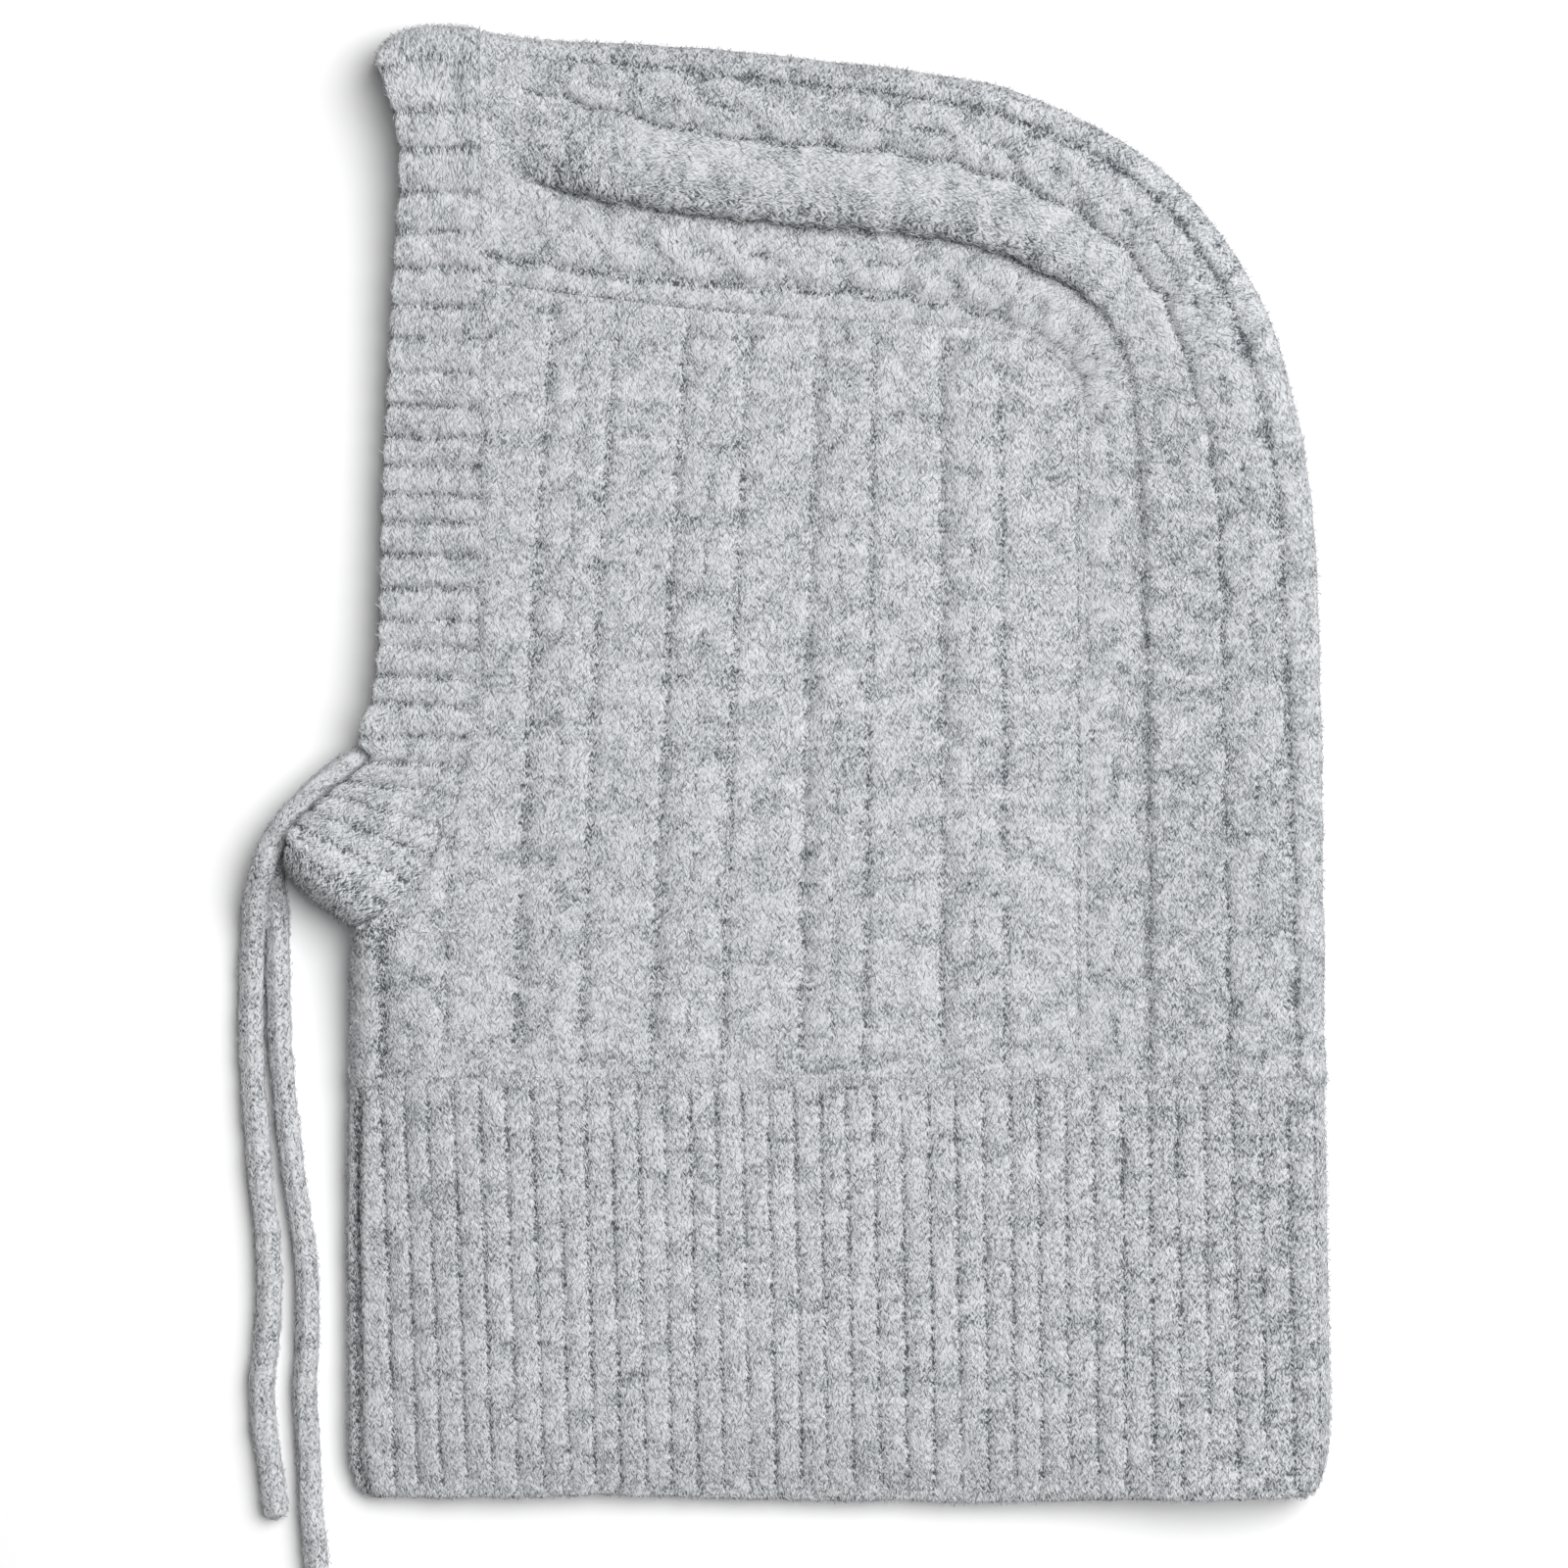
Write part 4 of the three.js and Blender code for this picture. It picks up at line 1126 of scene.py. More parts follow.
def neck_places(stations, heights, left, right):
    y = heights[:, None] + 0 * stations[None, :]
    number = stations[None, :] + 0 * y
    groove_first = rib_x(0.0, y)
    groove_last = rib_x(float(RIB_COUNT), y)
    x = rib_x(np.clip(number, 0, RIB_COUNT), y)
    x = np.where(number < 0, mix(left[:, None], groove_first, number + 1), x)
    x = np.where(number > RIB_COUNT, mix(groove_last, right[:, None], number - RIB_COUNT), x)
    inside = np.clip(x, left[:, None], right[:, None])
    sag = np.interp(inside, *np.array(HEM_SAG).T)
    share = smooth((HEM_SAG_FROM - y) / (HEM_SAG_FROM - NECK_ROWS[-1][0]))
    ragged = soft_noise(inside, 0 * y, 9.0, 25) + 0.6 * soft_noise(inside, 0 * y, 3.0, 26)
    return inside, y - share * (sag + HEM_RAGGED * ragged), number


def knit_neck_rib(relief):
    rows = 84
    hem_start = -192.0
    heights = np.concatenate([
        np.linspace(NECK_ROWS[0][0], hem_start, rows - 8),
        np.linspace(hem_start, NECK_ROWS[-1][0], 10)[1:],
    ])
    folds = curve_at(NECK_ROWS, np.linspace(0, 1, 900))
    left = np.interp(-heights, -folds[:, 0], folds[:, 1])
    right = np.interp(-heights, -folds[:, 0], folds[:, 2])
    upper = rib_stations(9, 5)
    stations = round_trip_stations(upper, rib_stations(4, 5)[1:-1][::-1])
    x, y, number = neck_places(stations, heights, left, right)
    fold = np.minimum(x - left[:, None], right[:, None] - x)
    is_upper = upper_layer(x.shape, len(upper))
    base = outer_surface(x, y, is_upper, fold)

    below_seam = RIB_TOP - y
    wobble = 0.5 * soft_noise(x, y, 6.0, 21) / RIB_PITCH
    place = number + wobble * (number > 0) * (number < RIB_COUNT)
    away = np.abs(place - np.round(place)) * RIB_PITCH
    from_crest = away - RIB_PITCH / 2
    grows = smooth(below_seam / 6.0 + 0.35 * soft_noise(x, y, 5.0, 22))
    uneven = 0.85 + 0.3 * soft_noise(x, y, 8.0, 23)
    edge_groove = bell((x - left[:, None]) - 2.7, 1.0) * is_upper * smooth(below_seam / 6.0)
    groove = bell(away, 0.8) * uneven * grows
    height = -relief.rib_depth / MM * groove + 0.15 * bell(from_crest, 2.2) * grows
    height = height + 0.22 * soft_noise(x, y, 7.0, 24) - 1.5 * edge_groove
    height = np.where(is_upper, height, height - 0.6)
    # The cast-on edge binds the ribs together
    hem = smooth((y + 196.5) / -3.5)
    height = mix(height, 0.1 + 0.3 * bell(from_crest, 2.0), hem * is_upper)
    height = mix(np.where(is_upper, JOINT_LEVEL, -0.6), height, smooth(below_seam / 4.0))
    line = np.where(is_upper, 1.15 * np.clip(uneven, 0, 1) * grows * (1 - hem), 0.2)
    # Painted shade in the groove beside the left fold and along the cast-on hem; the neck is also a
    # little darker towards the right
    to_right = 0.25 * smooth((x - 40) / 100)
    shade_and_lines = 2.6 * edge_groove + (0.1 * hem + to_right) * is_upper

    stitches = 4.0
    round_trip = stitches * (2 * RIB_COUNT + 4)
    shell = Shell(base, height, np.full(x.shape, RIB_THICKNESS), closed=True)
    shell.build(
        closed_uv(stitches * number, y / COURSE, is_upper, round_trip),
        rim_rows=3, rounded_row=shell.rows - 1, lip=HEM_LIP,
    )
    above_hem = (heights - heights[-1])[:, None]
    outline = np.minimum(fold, 1.3 * above_hem)
    to_edge = np.minimum(below_seam, 0.5 * above_hem)
    values = nap(is_upper, outline, np.gradient(base, axis=0), to_edge)
    return shell.to_object("neck_rib_knit", {"shade_and_lines": shade_and_lines, "line": line, **values})


def crown_path(inner, shares):
    table = np.array(CROWN_ROWS)
    return curve_at(table[:, :2] if inner else table[:, 2:], shares)


def crown_line(name, shares):
    points = [(entry["row"], entry[name]) for entry in CROWN_LINES]
    rows, values = curve_at(points, np.linspace(0, 1, 400)).T
    return np.interp(np.asarray(shares) * (len(CROWN_ROWS) - 1), rows, values)


def knit_crown_panel(relief):
    rows = 354
    dense = np.linspace(0, 1, 3000)
    middle = mix(crown_path(True, dense), crown_path(False, dense), 0.6)
    travelled = lengths_along(middle)
    share = np.interp(np.linspace(0, travelled[-1], rows + 1), travelled, dense)
    along = np.linspace(0, travelled[-1], rows + 1)
    row_number = share * (len(CROWN_ROWS) - 1)
    inner = crown_path(True, share)
    outer = crown_path(False, share)
    span = np.linalg.norm(outer - inner, axis=1)
    lines = {name: crown_line(name, share) for name in ("strip", "crease", "cable", "ridge")}

    anchors = [np.zeros(rows + 1), *lines.values()]
    parts = []
    for start, end, count in zip(anchors, anchors[1:], (6, 20, 20, 20)):
        parts.append(between(start[:, None], end[:, None], count))
    to_fold = 1 - (1 - np.arange(14) / 14) ** 1.8
    parts.append(mix(lines["ridge"][:, None], 1, to_fold[None, :]))
    across_upper = np.concatenate(parts, axis=1)
    across_lower = 1 - (np.arange(49) / 48)[None, :] ** 1.35 + 0 * share[:, None]
    across = np.concatenate([across_upper, across_lower], axis=1)
    uppers = across_upper.shape[1]
    across[:, 0] = PIECE_GAP / 2 / span
    across[:, -1] = PIECE_GAP / 2 / span
    # Stations are left out until whole coarse cells remain
    extra = (across.shape[1] - 1) % 3
    if extra:
        across = np.delete(across, [uppers + 5 + 7 * n for n in range(extra)], axis=1)
    x = mix(inner[:, :1], outer[:, :1], across)
    y = mix(inner[:, 1:], outer[:, 1:], across)
    band_line = band_edge(True, dense)
    at_band = np.interp(y[:1], band_line[:, 1], band_line[:, 0]) + BAND_GAP
    x = x + (at_band - x[:1]) * (1 - smooth(along / 12.0))[:, None]
    is_upper = upper_layer(x.shape, uppers)
    fold = (1 - across) * span[:, None]
    base = outer_surface(x, y, is_upper, fold)

    # across runs from the side panel, 0, to the outline, 1, and row is a place in CROWN_ROWS
    travel = along[:, None] + 0 * x
    row = row_number[:, None] + 0 * x
    width = span[:, None]
    strip, crease, cable, ridge = (lines[n][:, None] for n in ("strip", "crease", "cable", "ridge"))
    from_seam = across * width
    past_crease = (across - crease) * width
    past_cable = (across - cable) * width
    past_ridge = (across - ridge) * width
    wobble = soft_noise(x, y, 6.0, 31)
    on_crown = 1 - smooth((row - 9.0) / 3.0)
    from_band = smooth((row - 0.15) / 0.7)
    from_front = smooth((row - 0.55) / 0.9)
    height = 0.25 * soft_noise(x, y, 9.0, 32)
    shade_and_lines = np.zeros(x.shape)

    # Seam strip between the side panel and the inner cable, whose strands bulge over it
    strip_on = 1 - smooth((row - 6.5) / 2.0)
    stretch = mix(CROWN_CABLE_REPEAT, BACK_CABLE_REPEAT, 1 - on_crown)
    turns = np.cumsum(np.gradient(along)[:, None] / stretch, axis=0)
    cusp = 1 - np.abs(np.cos(np.pi * (turns + INNER_CABLE_START)))
    away = (across - strip) * width - 1.3 * cusp * strip_on + 0.4 * wobble
    height = height - 0.5 * strip_on * bell(away, 1.1) + 0.5 * strip_on * bell(away + 3.6, 2.2)
    shade_and_lines = np.maximum(shade_and_lines, 1.45 * strip_on * bell(away, 0.8))

    # Two cables, each between two lines, the inner one next to the side panel
    rise = mix(0.8, 1.65, on_crown) * relief.cable_height / MM
    cables = ((strip + 0.012, crease, INNER_CABLE_START), (cable, ridge, OUTER_CABLE_START))
    for low, high, start in cables:
        low = low + 0.5 / width
        high = high - 0.6 / width
        inside = (across > low) & (across < high) & is_upper
        local = 2 * (across - low) / (high - low) - 1
        strand, gap = rope(local + 0.05 * wobble, -(turns + 0.04 * wobble), 1.0, start)
        height = height + np.where(inside, rise * strand, 0) * from_front
        # The cable's partings carry painted shade
        shade_and_lines = np.maximum(shade_and_lines, np.where(inside, gap * mix(1.2, 1.6, on_crown), 0) * from_front)

    # Line between the rolled strip and the outer cable, scalloped by the cable's strands
    cusp = 1 - np.abs(np.cos(np.pi * (turns + OUTER_CABLE_START)))
    away = past_cable - 1.3 * cusp + 0.4 * wobble
    height = height - relief.purl_depth / MM * 1.6 * bell(away, 1.05) * from_band
    shade_and_lines = np.maximum(shade_and_lines, mix(0.95, 1.3, on_crown) * bell(away, 0.7) * from_band)

    # Fold crease: the rolled strip hangs over the inner cable on the crown, a purl line at the back.
    # The crease is painted dark as shade under the strip.
    reach = (1 - smooth((row - 7.2) / 2.4)) * from_front
    away = past_crease + (0.25 + 0.45 * (1 - reach)) * wobble
    away = away + 0.85 * reach * soft_noise(x, y, 2.6, 36)
    depth = mix(2.4 * relief.purl_depth / MM, CREASE_DEPTH, reach)
    height = height - depth * bell(away, mix(1.1, 1.9, reach)) * from_front
    roll = np.clip(away / ((cable - crease) * width), 0, 1)
    height = height + reach * ROLL_RISE * np.sin(np.pi * roll**0.62)
    ragged = 0.78 + 0.5 * soft_noise(travel, 0 * travel, 2.6, 35)
    crease_line = mix(1.7, 2.2, reach) * ragged * bell(away, mix(0.75, 1.3, reach))
    shade_and_lines = np.maximum(shade_and_lines, crease_line * from_front)
    # The lower part of the rolled strip, which turns away from the light, is painted darker as shade
    shade_and_lines = shade_and_lines + 0.7 * reach * (roll > 0) * (1 - smooth(roll / 0.60))
    hang = 1.5 * reach * bell(away - 2.0, 1.3)
    to_crease = np.abs(away) + 9 * (1 - from_front)

    # Line inside the outer ridge; on the crown the ridge beyond it is painted a little darker as shade
    away = past_ridge + 0.3 * wobble + 0.7 * (cusp - 0.5) * (1 - on_crown)
    line_on = smooth(row - 0.8) * mix(0.85, 1.0, on_crown)
    height = height - relief.ridge_depth / MM * line_on * bell(away, 1.1)
    shade_and_lines = np.maximum(shade_and_lines, 1.6 * line_on * bell(away, 0.62))
    shade_and_lines = shade_and_lines + 0.2 * line_on * on_crown * smooth(away / 2.0)

    # The edges meet the neighbouring pieces
    at_seam = bell(from_seam, 1.3)
    height = mix(height, SEAM_LEVEL, at_seam)
    seam_shows = 0.6 + 0.5 * (1 - smooth((row - 2.0) / 2.0))
    shade_and_lines = np.maximum(shade_and_lines * (1 - at_seam), seam_shows * bell(from_seam, 0.8))
    height = mix(height, SEAM_LEVEL * 0.5, bell(x + 88.0, 1.5) * (row < 1))
    height = mix(JOINT_LEVEL, height, smooth((along[-1] - travel) / 7.0))
    height = np.where(is_upper, height, 0.3 * soft_noise(x, y, 7, 33) - 0.6)
    # Painted shade: the outer part of the crown, and the back away from its seam, are drawn darker
    outer_part = smooth(past_cable / 6.0)
    shade_and_lines = shade_and_lines + mix(0.25 * smooth(from_seam / 20.0), 0.20 * outer_part, on_crown)
    shade_and_lines = np.where(is_upper, shade_and_lines, 0.2)
    rolled = ((across > crease) & (across <= cable)).astype(float)
    # The rolled strip is painted a little darker as shade, most where it starts near the front
    into_strip = smooth(past_crease / 1.5) * (1 - smooth(past_cable / 3.0 + 1))
    shade = 0.12 + 0.36 * bell(x - ROLL_SHADE_X, ROLL_SHADE_REACH)
    shade_and_lines = shade_and_lines + into_strip * is_upper * shade
    strokes_turned = on_crown * (1 - rolled * smooth((row - 1.5) / 1.6))

    inward = (inner - outer) / span[:, None]
    base[..., :2] += (hang * is_upper)[..., None] * inward[:, None, :]
    uv = np.stack([(1 - across) * width / CROWN_WALE, -travel / COURSE], axis=-1)
    uv[:, uppers:, 0] *= -1
    shell = Shell(base, height, np.full(x.shape, KNIT_THICKNESS))
    shell.build(uv, rim_rows=1)
    turned = (strokes_turned > 0.5 + 0.35 * soft_noise(x, y, 2.0, 34))[..., None]
    lie = mix(np.gradient(base, axis=0), np.gradient(base, axis=1), turned)
    to_seam = np.minimum(np.minimum(from_seam, along[-1] - travel), 0.6 * to_crease)
    values = nap(is_upper, fold, lie, to_seam)
    # Tufts grow over the crease
    tufts = bell(to_crease - 1.0, 1.8) * is_upper
    values["fuzz"] = values["fuzz"] + 1.5 * tufts
    values["upright"] = values["upright"] + 0.35 * tufts
    return shell.to_object("crown_panel_knit", {"shade_and_lines": shade_and_lines, "across": strokes_turned, **values})


def band_edge(seam, shares):
    table = np.array(BAND_ROWS)
    return curve_at(table[:, 2:] if seam else table[:, :2], shares)


def knit_hood_body(relief):
    slit_cells = 168
    below_cells = 36
    seam_share = np.linspace(0, STRAIGHT_BACK_FROM / (len(CROWN_ROWS) - 1), 600)
    top_line = crown_path(True, seam_share)
    top_y = top_line[0, 1]
    bottom = RIB_TOP + PIECE_GAP
    slit_share = (top_y - SLIT_TOP) / (top_y - bottom)
    spread = np.linspace(0, 1, slit_cells + 1)
    above = slit_share * (spread + 0.10 * np.sin(np.pi * spread) * spread)
    rows = np.concatenate([above, mix(slit_share, 1.0, np.linspace(0, 1, below_cells + 1))[1:]])
    left_y = mix(top_y, bottom, rows)
    band_line = band_edge(True, np.linspace(0, 1, 900))
    order = np.argsort(band_line[:, 1])
    band_x = np.interp(left_y, band_line[order, 1], band_line[order, 0]) + BAND_GAP
    fold_x = np.interp(left_y, *np.array(FRONT_FOLD).T)
    folded = np.arange(len(rows)) >= slit_cells
    flat_left = np.where(folded, fold_x + FOLD_REACH, band_x)

    # Stations follow the purl lines; the part before the first one that is whole is stretched
    first_whole = 3
    right = len(PURL_LINES) - 1

    def stations(per_column, before):
        numbers = [first_whole - 1 + np.arange(before) / before]
        for column in range(first_whole, right):
            numbers.append(between(column, column + 1, per_column))
        return np.concatenate([*numbers, [right]])

    def column_number(x, y):
        """Fractional number of the purl line at each place."""
        lines = np.stack([purl_line_x(k, y) for k in range(len(PURL_LINES))])
        number = np.zeros(x.shape) - 2.0
        for k in range(right):
            share = (x - lines[k]) / (lines[k + 1] - lines[k])
            number = np.where(share >= 0, k + np.minimum(share, 1), number)
        before = (x - lines[0]) / 18.0
        return np.where(x < lines[0], before, number)

    def places(numbers):
        at_top = np.interp(numbers, np.arange(len(PURL_LINES)), PURL_LINES)
        n = numbers[None, :]
        top_x = purl_line_x(numbers, top_y + 0 * at_top)
        first_x = purl_line_x(float(first_whole), np.array([top_y]))[0]
        start = numbers < first_whole
        top_x[start] = mix(top_line[0, 0], first_x, numbers[start] - (first_whole - 1))
        edge_y = np.interp(top_x, top_line[:, 0], top_line[:, 1])
        for _ in range(12):
            moved = np.where(start, top_x, purl_line_x(numbers, edge_y))
            edge_y = mix(edge_y, np.interp(moved, top_line[:, 0], top_line[:, 1]), 0.7)
        y = mix(edge_y[None, :], bottom, rows[:, None])
        x = purl_line_x(n + 0 * y, y)
        whole_x = purl_line_x(float(first_whole), y)
        share = n - (first_whole - 1)
        x = np.where(n < first_whole, mix(flat_left[:, None], whole_x, share), x)
        return x, y

    # The band's edge has to fall on a whole coarse cell
    fine = stations(22, 53)
    tail = 1 - (1 - np.linspace(0, 1, 23)) ** 2.2
    fine = np.concatenate([fine[fine < right - 1], right - 1 + tail])
    coarse = stations(11, 24)
    coarse = np.concatenate([coarse[coarse < right - 1], right - 1 + tail[::2]])
    nose_steps = FOLD_REACH * (1 - np.cos(np.linspace(0, np.pi / 2, 7)))
    upper_x, upper_y = places(fine)
    lower_x, lower_y = places(coarse)
    upper_x, upper_y = upper_x[:, ::-1], upper_y[:, ::-1]
    nose = np.concatenate([nose_steps[:-1][::-1], nose_steps[1:-1]])
    nose_x = (flat_left - FOLD_REACH)[:, None] + nose[None, :]
    nose_y = upper_y[:, -1:] + 0 * nose_x
    x = np.concatenate([upper_x, nose_x, lower_x], axis=1)
    y = np.concatenate([upper_y, nose_y, lower_y], axis=1)
    uppers = upper_x.shape[1]
    fold = np.full(x.shape, FOLD_REACH)
    fold[:, uppers:uppers + len(nose)] = nose[None, :]
    is_upper = upper_layer(x.shape, uppers + 6)
    drop = (x.shape[1] - 1) % 3
    cut = [uppers + len(nose) + 4 + 5 * n for n in range(drop)]
    x, y, fold, is_upper = (np.delete(a, cut, axis=1) for a in (x, y, fold, is_upper))
    base = outer_surface(x, y, is_upper, fold)

    height, shade_and_lines = side_panel_relief(x, y, relief)
    merge = smooth((y - RIB_TOP) / 7.0)
    below_seam = np.interp(x, top_line[:, 0], top_line[:, 1]) - y
    to_crown = np.minimum(BACK_SEAM_X - x, 0.93 * below_seam)
    edge = bell(np.clip(to_crown, 0, None), 1.3)
    band_edge_x = np.where(folded, -1000.0, band_x)[:, None]
    edge = np.maximum(edge, bell(x - band_edge_x, 1.3))
    height = np.where(is_upper, height, height * 0.6 - 0.8)
    height = mix(height, SEAM_LEVEL, edge)
    height = mix(np.where(is_upper, JOINT_LEVEL, -0.6), height, merge)
    shade_and_lines = np.where(is_upper, shade_and_lines * (1 - edge) * merge + 0.07, 0.25)
    # Painted shade in the corner at the top of the slit, where the face band meets the front fold
    shade_and_lines = shade_and_lines + 1.3 * bell(np.hypot(x - flat_left[slit_cells], y - SLIT_TOP), 5.0) * is_upper
    # The first purl line below the chin is a deep groove beside the front fold, drawn dark: the purl
    # line and painted shade
    beside_fold = bell(x - PURL_LINES[0], 1.5) * is_upper * smooth((SLIT_TOP - y) / 5.0)
    height = height - 0.6 * beside_fold
    shade_and_lines = shade_and_lines + 1.2 * beside_fold

    column = column_number(x, y)
    below_chin = 1 - smooth((y - CHIN_COLUMN_TOP) / CHIN_COLUMN_FADE)
    line = np.where(is_upper, SIDE_LINE_SHARE * (0.3 + 0.7 * merge) * (1 - edge), 0.0)
    line = line * smooth((to_crown - 2.0) / 9.0) * np.where(column < 1.5, 0.7 * below_chin, 1.0)
    # Above the slit the front fold is open: its cells are left out
    present = np.ones((len(rows) - 1, x.shape[1] - 1), bool)
    first_nose = (uppers - 1) // 3 * 3
    last_nose = -(-(uppers + len(nose)) // 3) * 3
    present[:slit_cells, first_nose:last_nose] = False
    stitch = np.where(is_upper, 10.0 * column, -200 - 10.0 * column)
    shell = Shell(base, height, np.full(x.shape, KNIT_THICKNESS), present=present)
    shell.build(np.stack([stitch, y / COURSE], axis=-1), rim_rows=1)
    outline = np.where(folded[:, None], fold, FOLD_REACH)
    to_seam = np.minimum(np.minimum(to_crown, y - RIB_TOP), np.maximum(x - band_edge_x, 0))
    values = nap(is_upper, outline, np.gradient(base, axis=0), to_seam)
    return shell.to_object("hood_body_knit", {"shade_and_lines": shade_and_lines, "line": line, **values})


def knit_face_band(relief):
    dense = np.linspace(0, 1, 3000)
    free = band_edge(False, dense)
    seam = band_edge(True, dense)
    middle = mix(free, seam, 0.45)
    travelled = lengths_along(middle)
    total = travelled[-1]
    # Grooves by distance from the chin fold; the straight part starts at 0.4 of the length
    straight = np.interp(BAND_GROOVES, middle[1200:, 1], travelled[1200:])
    grooves = list(straight[::-1])
    while grooves[0] > CHIN_GROOVE_PITCH:
        grooves.insert(0, grooves[0] - CHIN_GROOVE_PITCH)
    grooves = np.array(grooves)

    def stations(per_rib):
        runs = [between(a, b, per_rib) for a, b in zip(grooves, grooves[1:])]
        tail = total - from_fold(total - grooves[-1], 7)[::-1]
        return np.concatenate([from_fold(grooves[0], 5), *runs, [grooves[-1]], tail])

    upper = stations(12)
    place = round_trip_stations(upper, stations(6)[1:-1][::-1])
    share = np.interp(place, travelled, dense)
    free_at = band_edge(False, share)
    seam_at = band_edge(True, share)
    widths = np.concatenate([np.linspace(0, 0.2, 7)[:-1], np.linspace(0.2, 1, 25)])
    while (len(widths) - 1) % 3:
        widths = np.delete(widths, 12)
    wide = widths[:, None]
    from_edge = wide * BAND_WIDTH
    from_seam = (1 - wide) * BAND_WIDTH
    x = mix(free_at[None, :, 0], seam_at[None, :, 0], wide)
    y = mix(free_at[None, :, 1], seam_at[None, :, 1], wide)
    from_chin_fold = place[None, :]
    to_crown_fold = total - from_chin_fold
    # The corner below the crown fold, and the lip over the cord's hole
    corner = bell(to_crown_fold, 3.4) * bell(from_edge, 2.8)
    flare = CORNER_FLARE * bell(to_crown_fold - 3.5, 4.5) * bell(from_edge, 9.0)
    x = x + 0.8 * corner - flare
    y = y - 0.7 * corner
    over_cord = bell(y - CORD_HOLE_Y, 8.0) * smooth((y - 2.6) / 3.0)
    x = x - CORD_HOLE_LIP * over_cord * bell(from_edge, 8.0)
    # Bulges at both folds, and pulls on the free edge
    bow = 4 * wide * (1 - wide)
    outwards = (free_at - seam_at) / np.linalg.norm(free_at - seam_at, axis=1, keepdims=True)
    near_crown = bell(to_crown_fold, 9.5)
    near_chin = bell(from_chin_fold, 9.0)
    pull = sum(inward * bell(y - middle_y, reach) for middle_y, reach, inward in BAND_PULLS)
    x = x + CHIN_BULGE[0] * bow * near_chin + pull * (1 - wide)
    arch = np.sin(np.pi * np.clip(wide, 0, 1) ** 0.6)
    y = y + CHIN_BULGE[1] * bow * near_chin + CROWN_BULGE * arch * near_crown
    below_hole = smooth((4.0 - free_at[None, :, 1]) / 10.0) * smooth(from_chin_fold / 12.0)
    gap = np.min(np.abs(place[None, :, None] + 0 * wide[..., None] - grooves), axis=2)
    puff = EDGE_PUFF * (np.clip(gap / 4.0, 0, 1) ** 0.8 - 0.5) * bell(from_edge, 2.5)
    for push in (CHIN_REACH * (1 - wide) * below_hole, puff):
        x = x + push * outwards[None, :, 0]
        y = y + push * outwards[None, :, 1]
    is_upper = upper_layer(x.shape, len(upper))
    fold = np.minimum(from_chin_fold, to_crown_fold) + 0 * x
    lift = BAND_EDGE_LIFT * (1 - smooth(wide / (2 * BAND_EDGE_SHARE))) * is_upper
    base = outer_surface(x, y, is_upper, fold, lift)

    wobble = 0.45 * soft_noise(x, y, 6.0, 41)
    gap = np.min(np.abs(place[None, :, None] + wobble[..., None] - grooves), axis=2)
    uneven = 0.85 + 0.3 * soft_noise(x, y, 7.0, 42)
    at_seam = 1 - 0.55 * smooth((wide - 0.86) / 0.14)
    past_chin = 1 - 0.4 * (1 - smooth((from_chin_fold - 30.0) / 25.0))
    groove = bell(gap, 1.25) * uneven * at_seam * past_chin
    height = -relief.band_depth / MM * groove + 0.45 * np.clip(gap / 4.0, 0, 1) ** 0.7
    height = height + 0.25 * soft_noise(x, y, 7.0, 43)
    height = mix(height, SEAM_LEVEL, bell(from_seam, 1.3))
    height = np.where(is_upper, height, height * 0.7 - 0.8)
    line = np.where(is_upper, np.clip(uneven, 0, 1) * at_seam, 0.2)
    # Painted shade at the chin end and along its lower rim; the band is also a little darker towards
    # the crown fold, and its seam is a dark line
    at_chin = 1 - smooth((from_chin_fold - 14.0) / 26.0)
    at_rim = bell(from_chin_fold - 3.0, 7.0)
    shade_and_lines = 0.55 * bell(from_seam, 0.9) + 0.22 * at_chin + 0.12 * bell(to_crown_fold, 25.0)
    shade_and_lines = shade_and_lines + 0.7 * at_rim * smooth(0.5 + 0.7 * soft_noise(x, y, 3.5, 44))
    doubled = 1 - smooth((wide - BAND_EDGE_SHARE) / BAND_EDGE_SHARE)
    thickness = mix(BAND_SEAM_THICKNESS, BAND_EDGE_THICKNESS, doubled) + 0 * x

    rib_number = np.interp(place, grooves, np.arange(len(grooves)))
    rib_number = rib_number + np.minimum(place - grooves[0], 0) / 8.0
    rib_number = rib_number + np.maximum(place - grooves[-1], 0) / 10.0
    shell = Shell(base, height, thickness, closed=True)
    shell.build(
        closed_uv(4.0 * rib_number[None, :] + 0 * x, from_edge / BAND_COURSE + 0 * x, is_upper, 400),
        rim_rows=3, rounded_row=0,
    )
    outline = np.minimum(fold, from_edge)
    values = nap(is_upper, outline, np.gradient(base, axis=1), from_seam + 0 * x)
    return shell.to_object("face_band_knit", {"shade_and_lines": shade_and_lines, "line": line, **values})


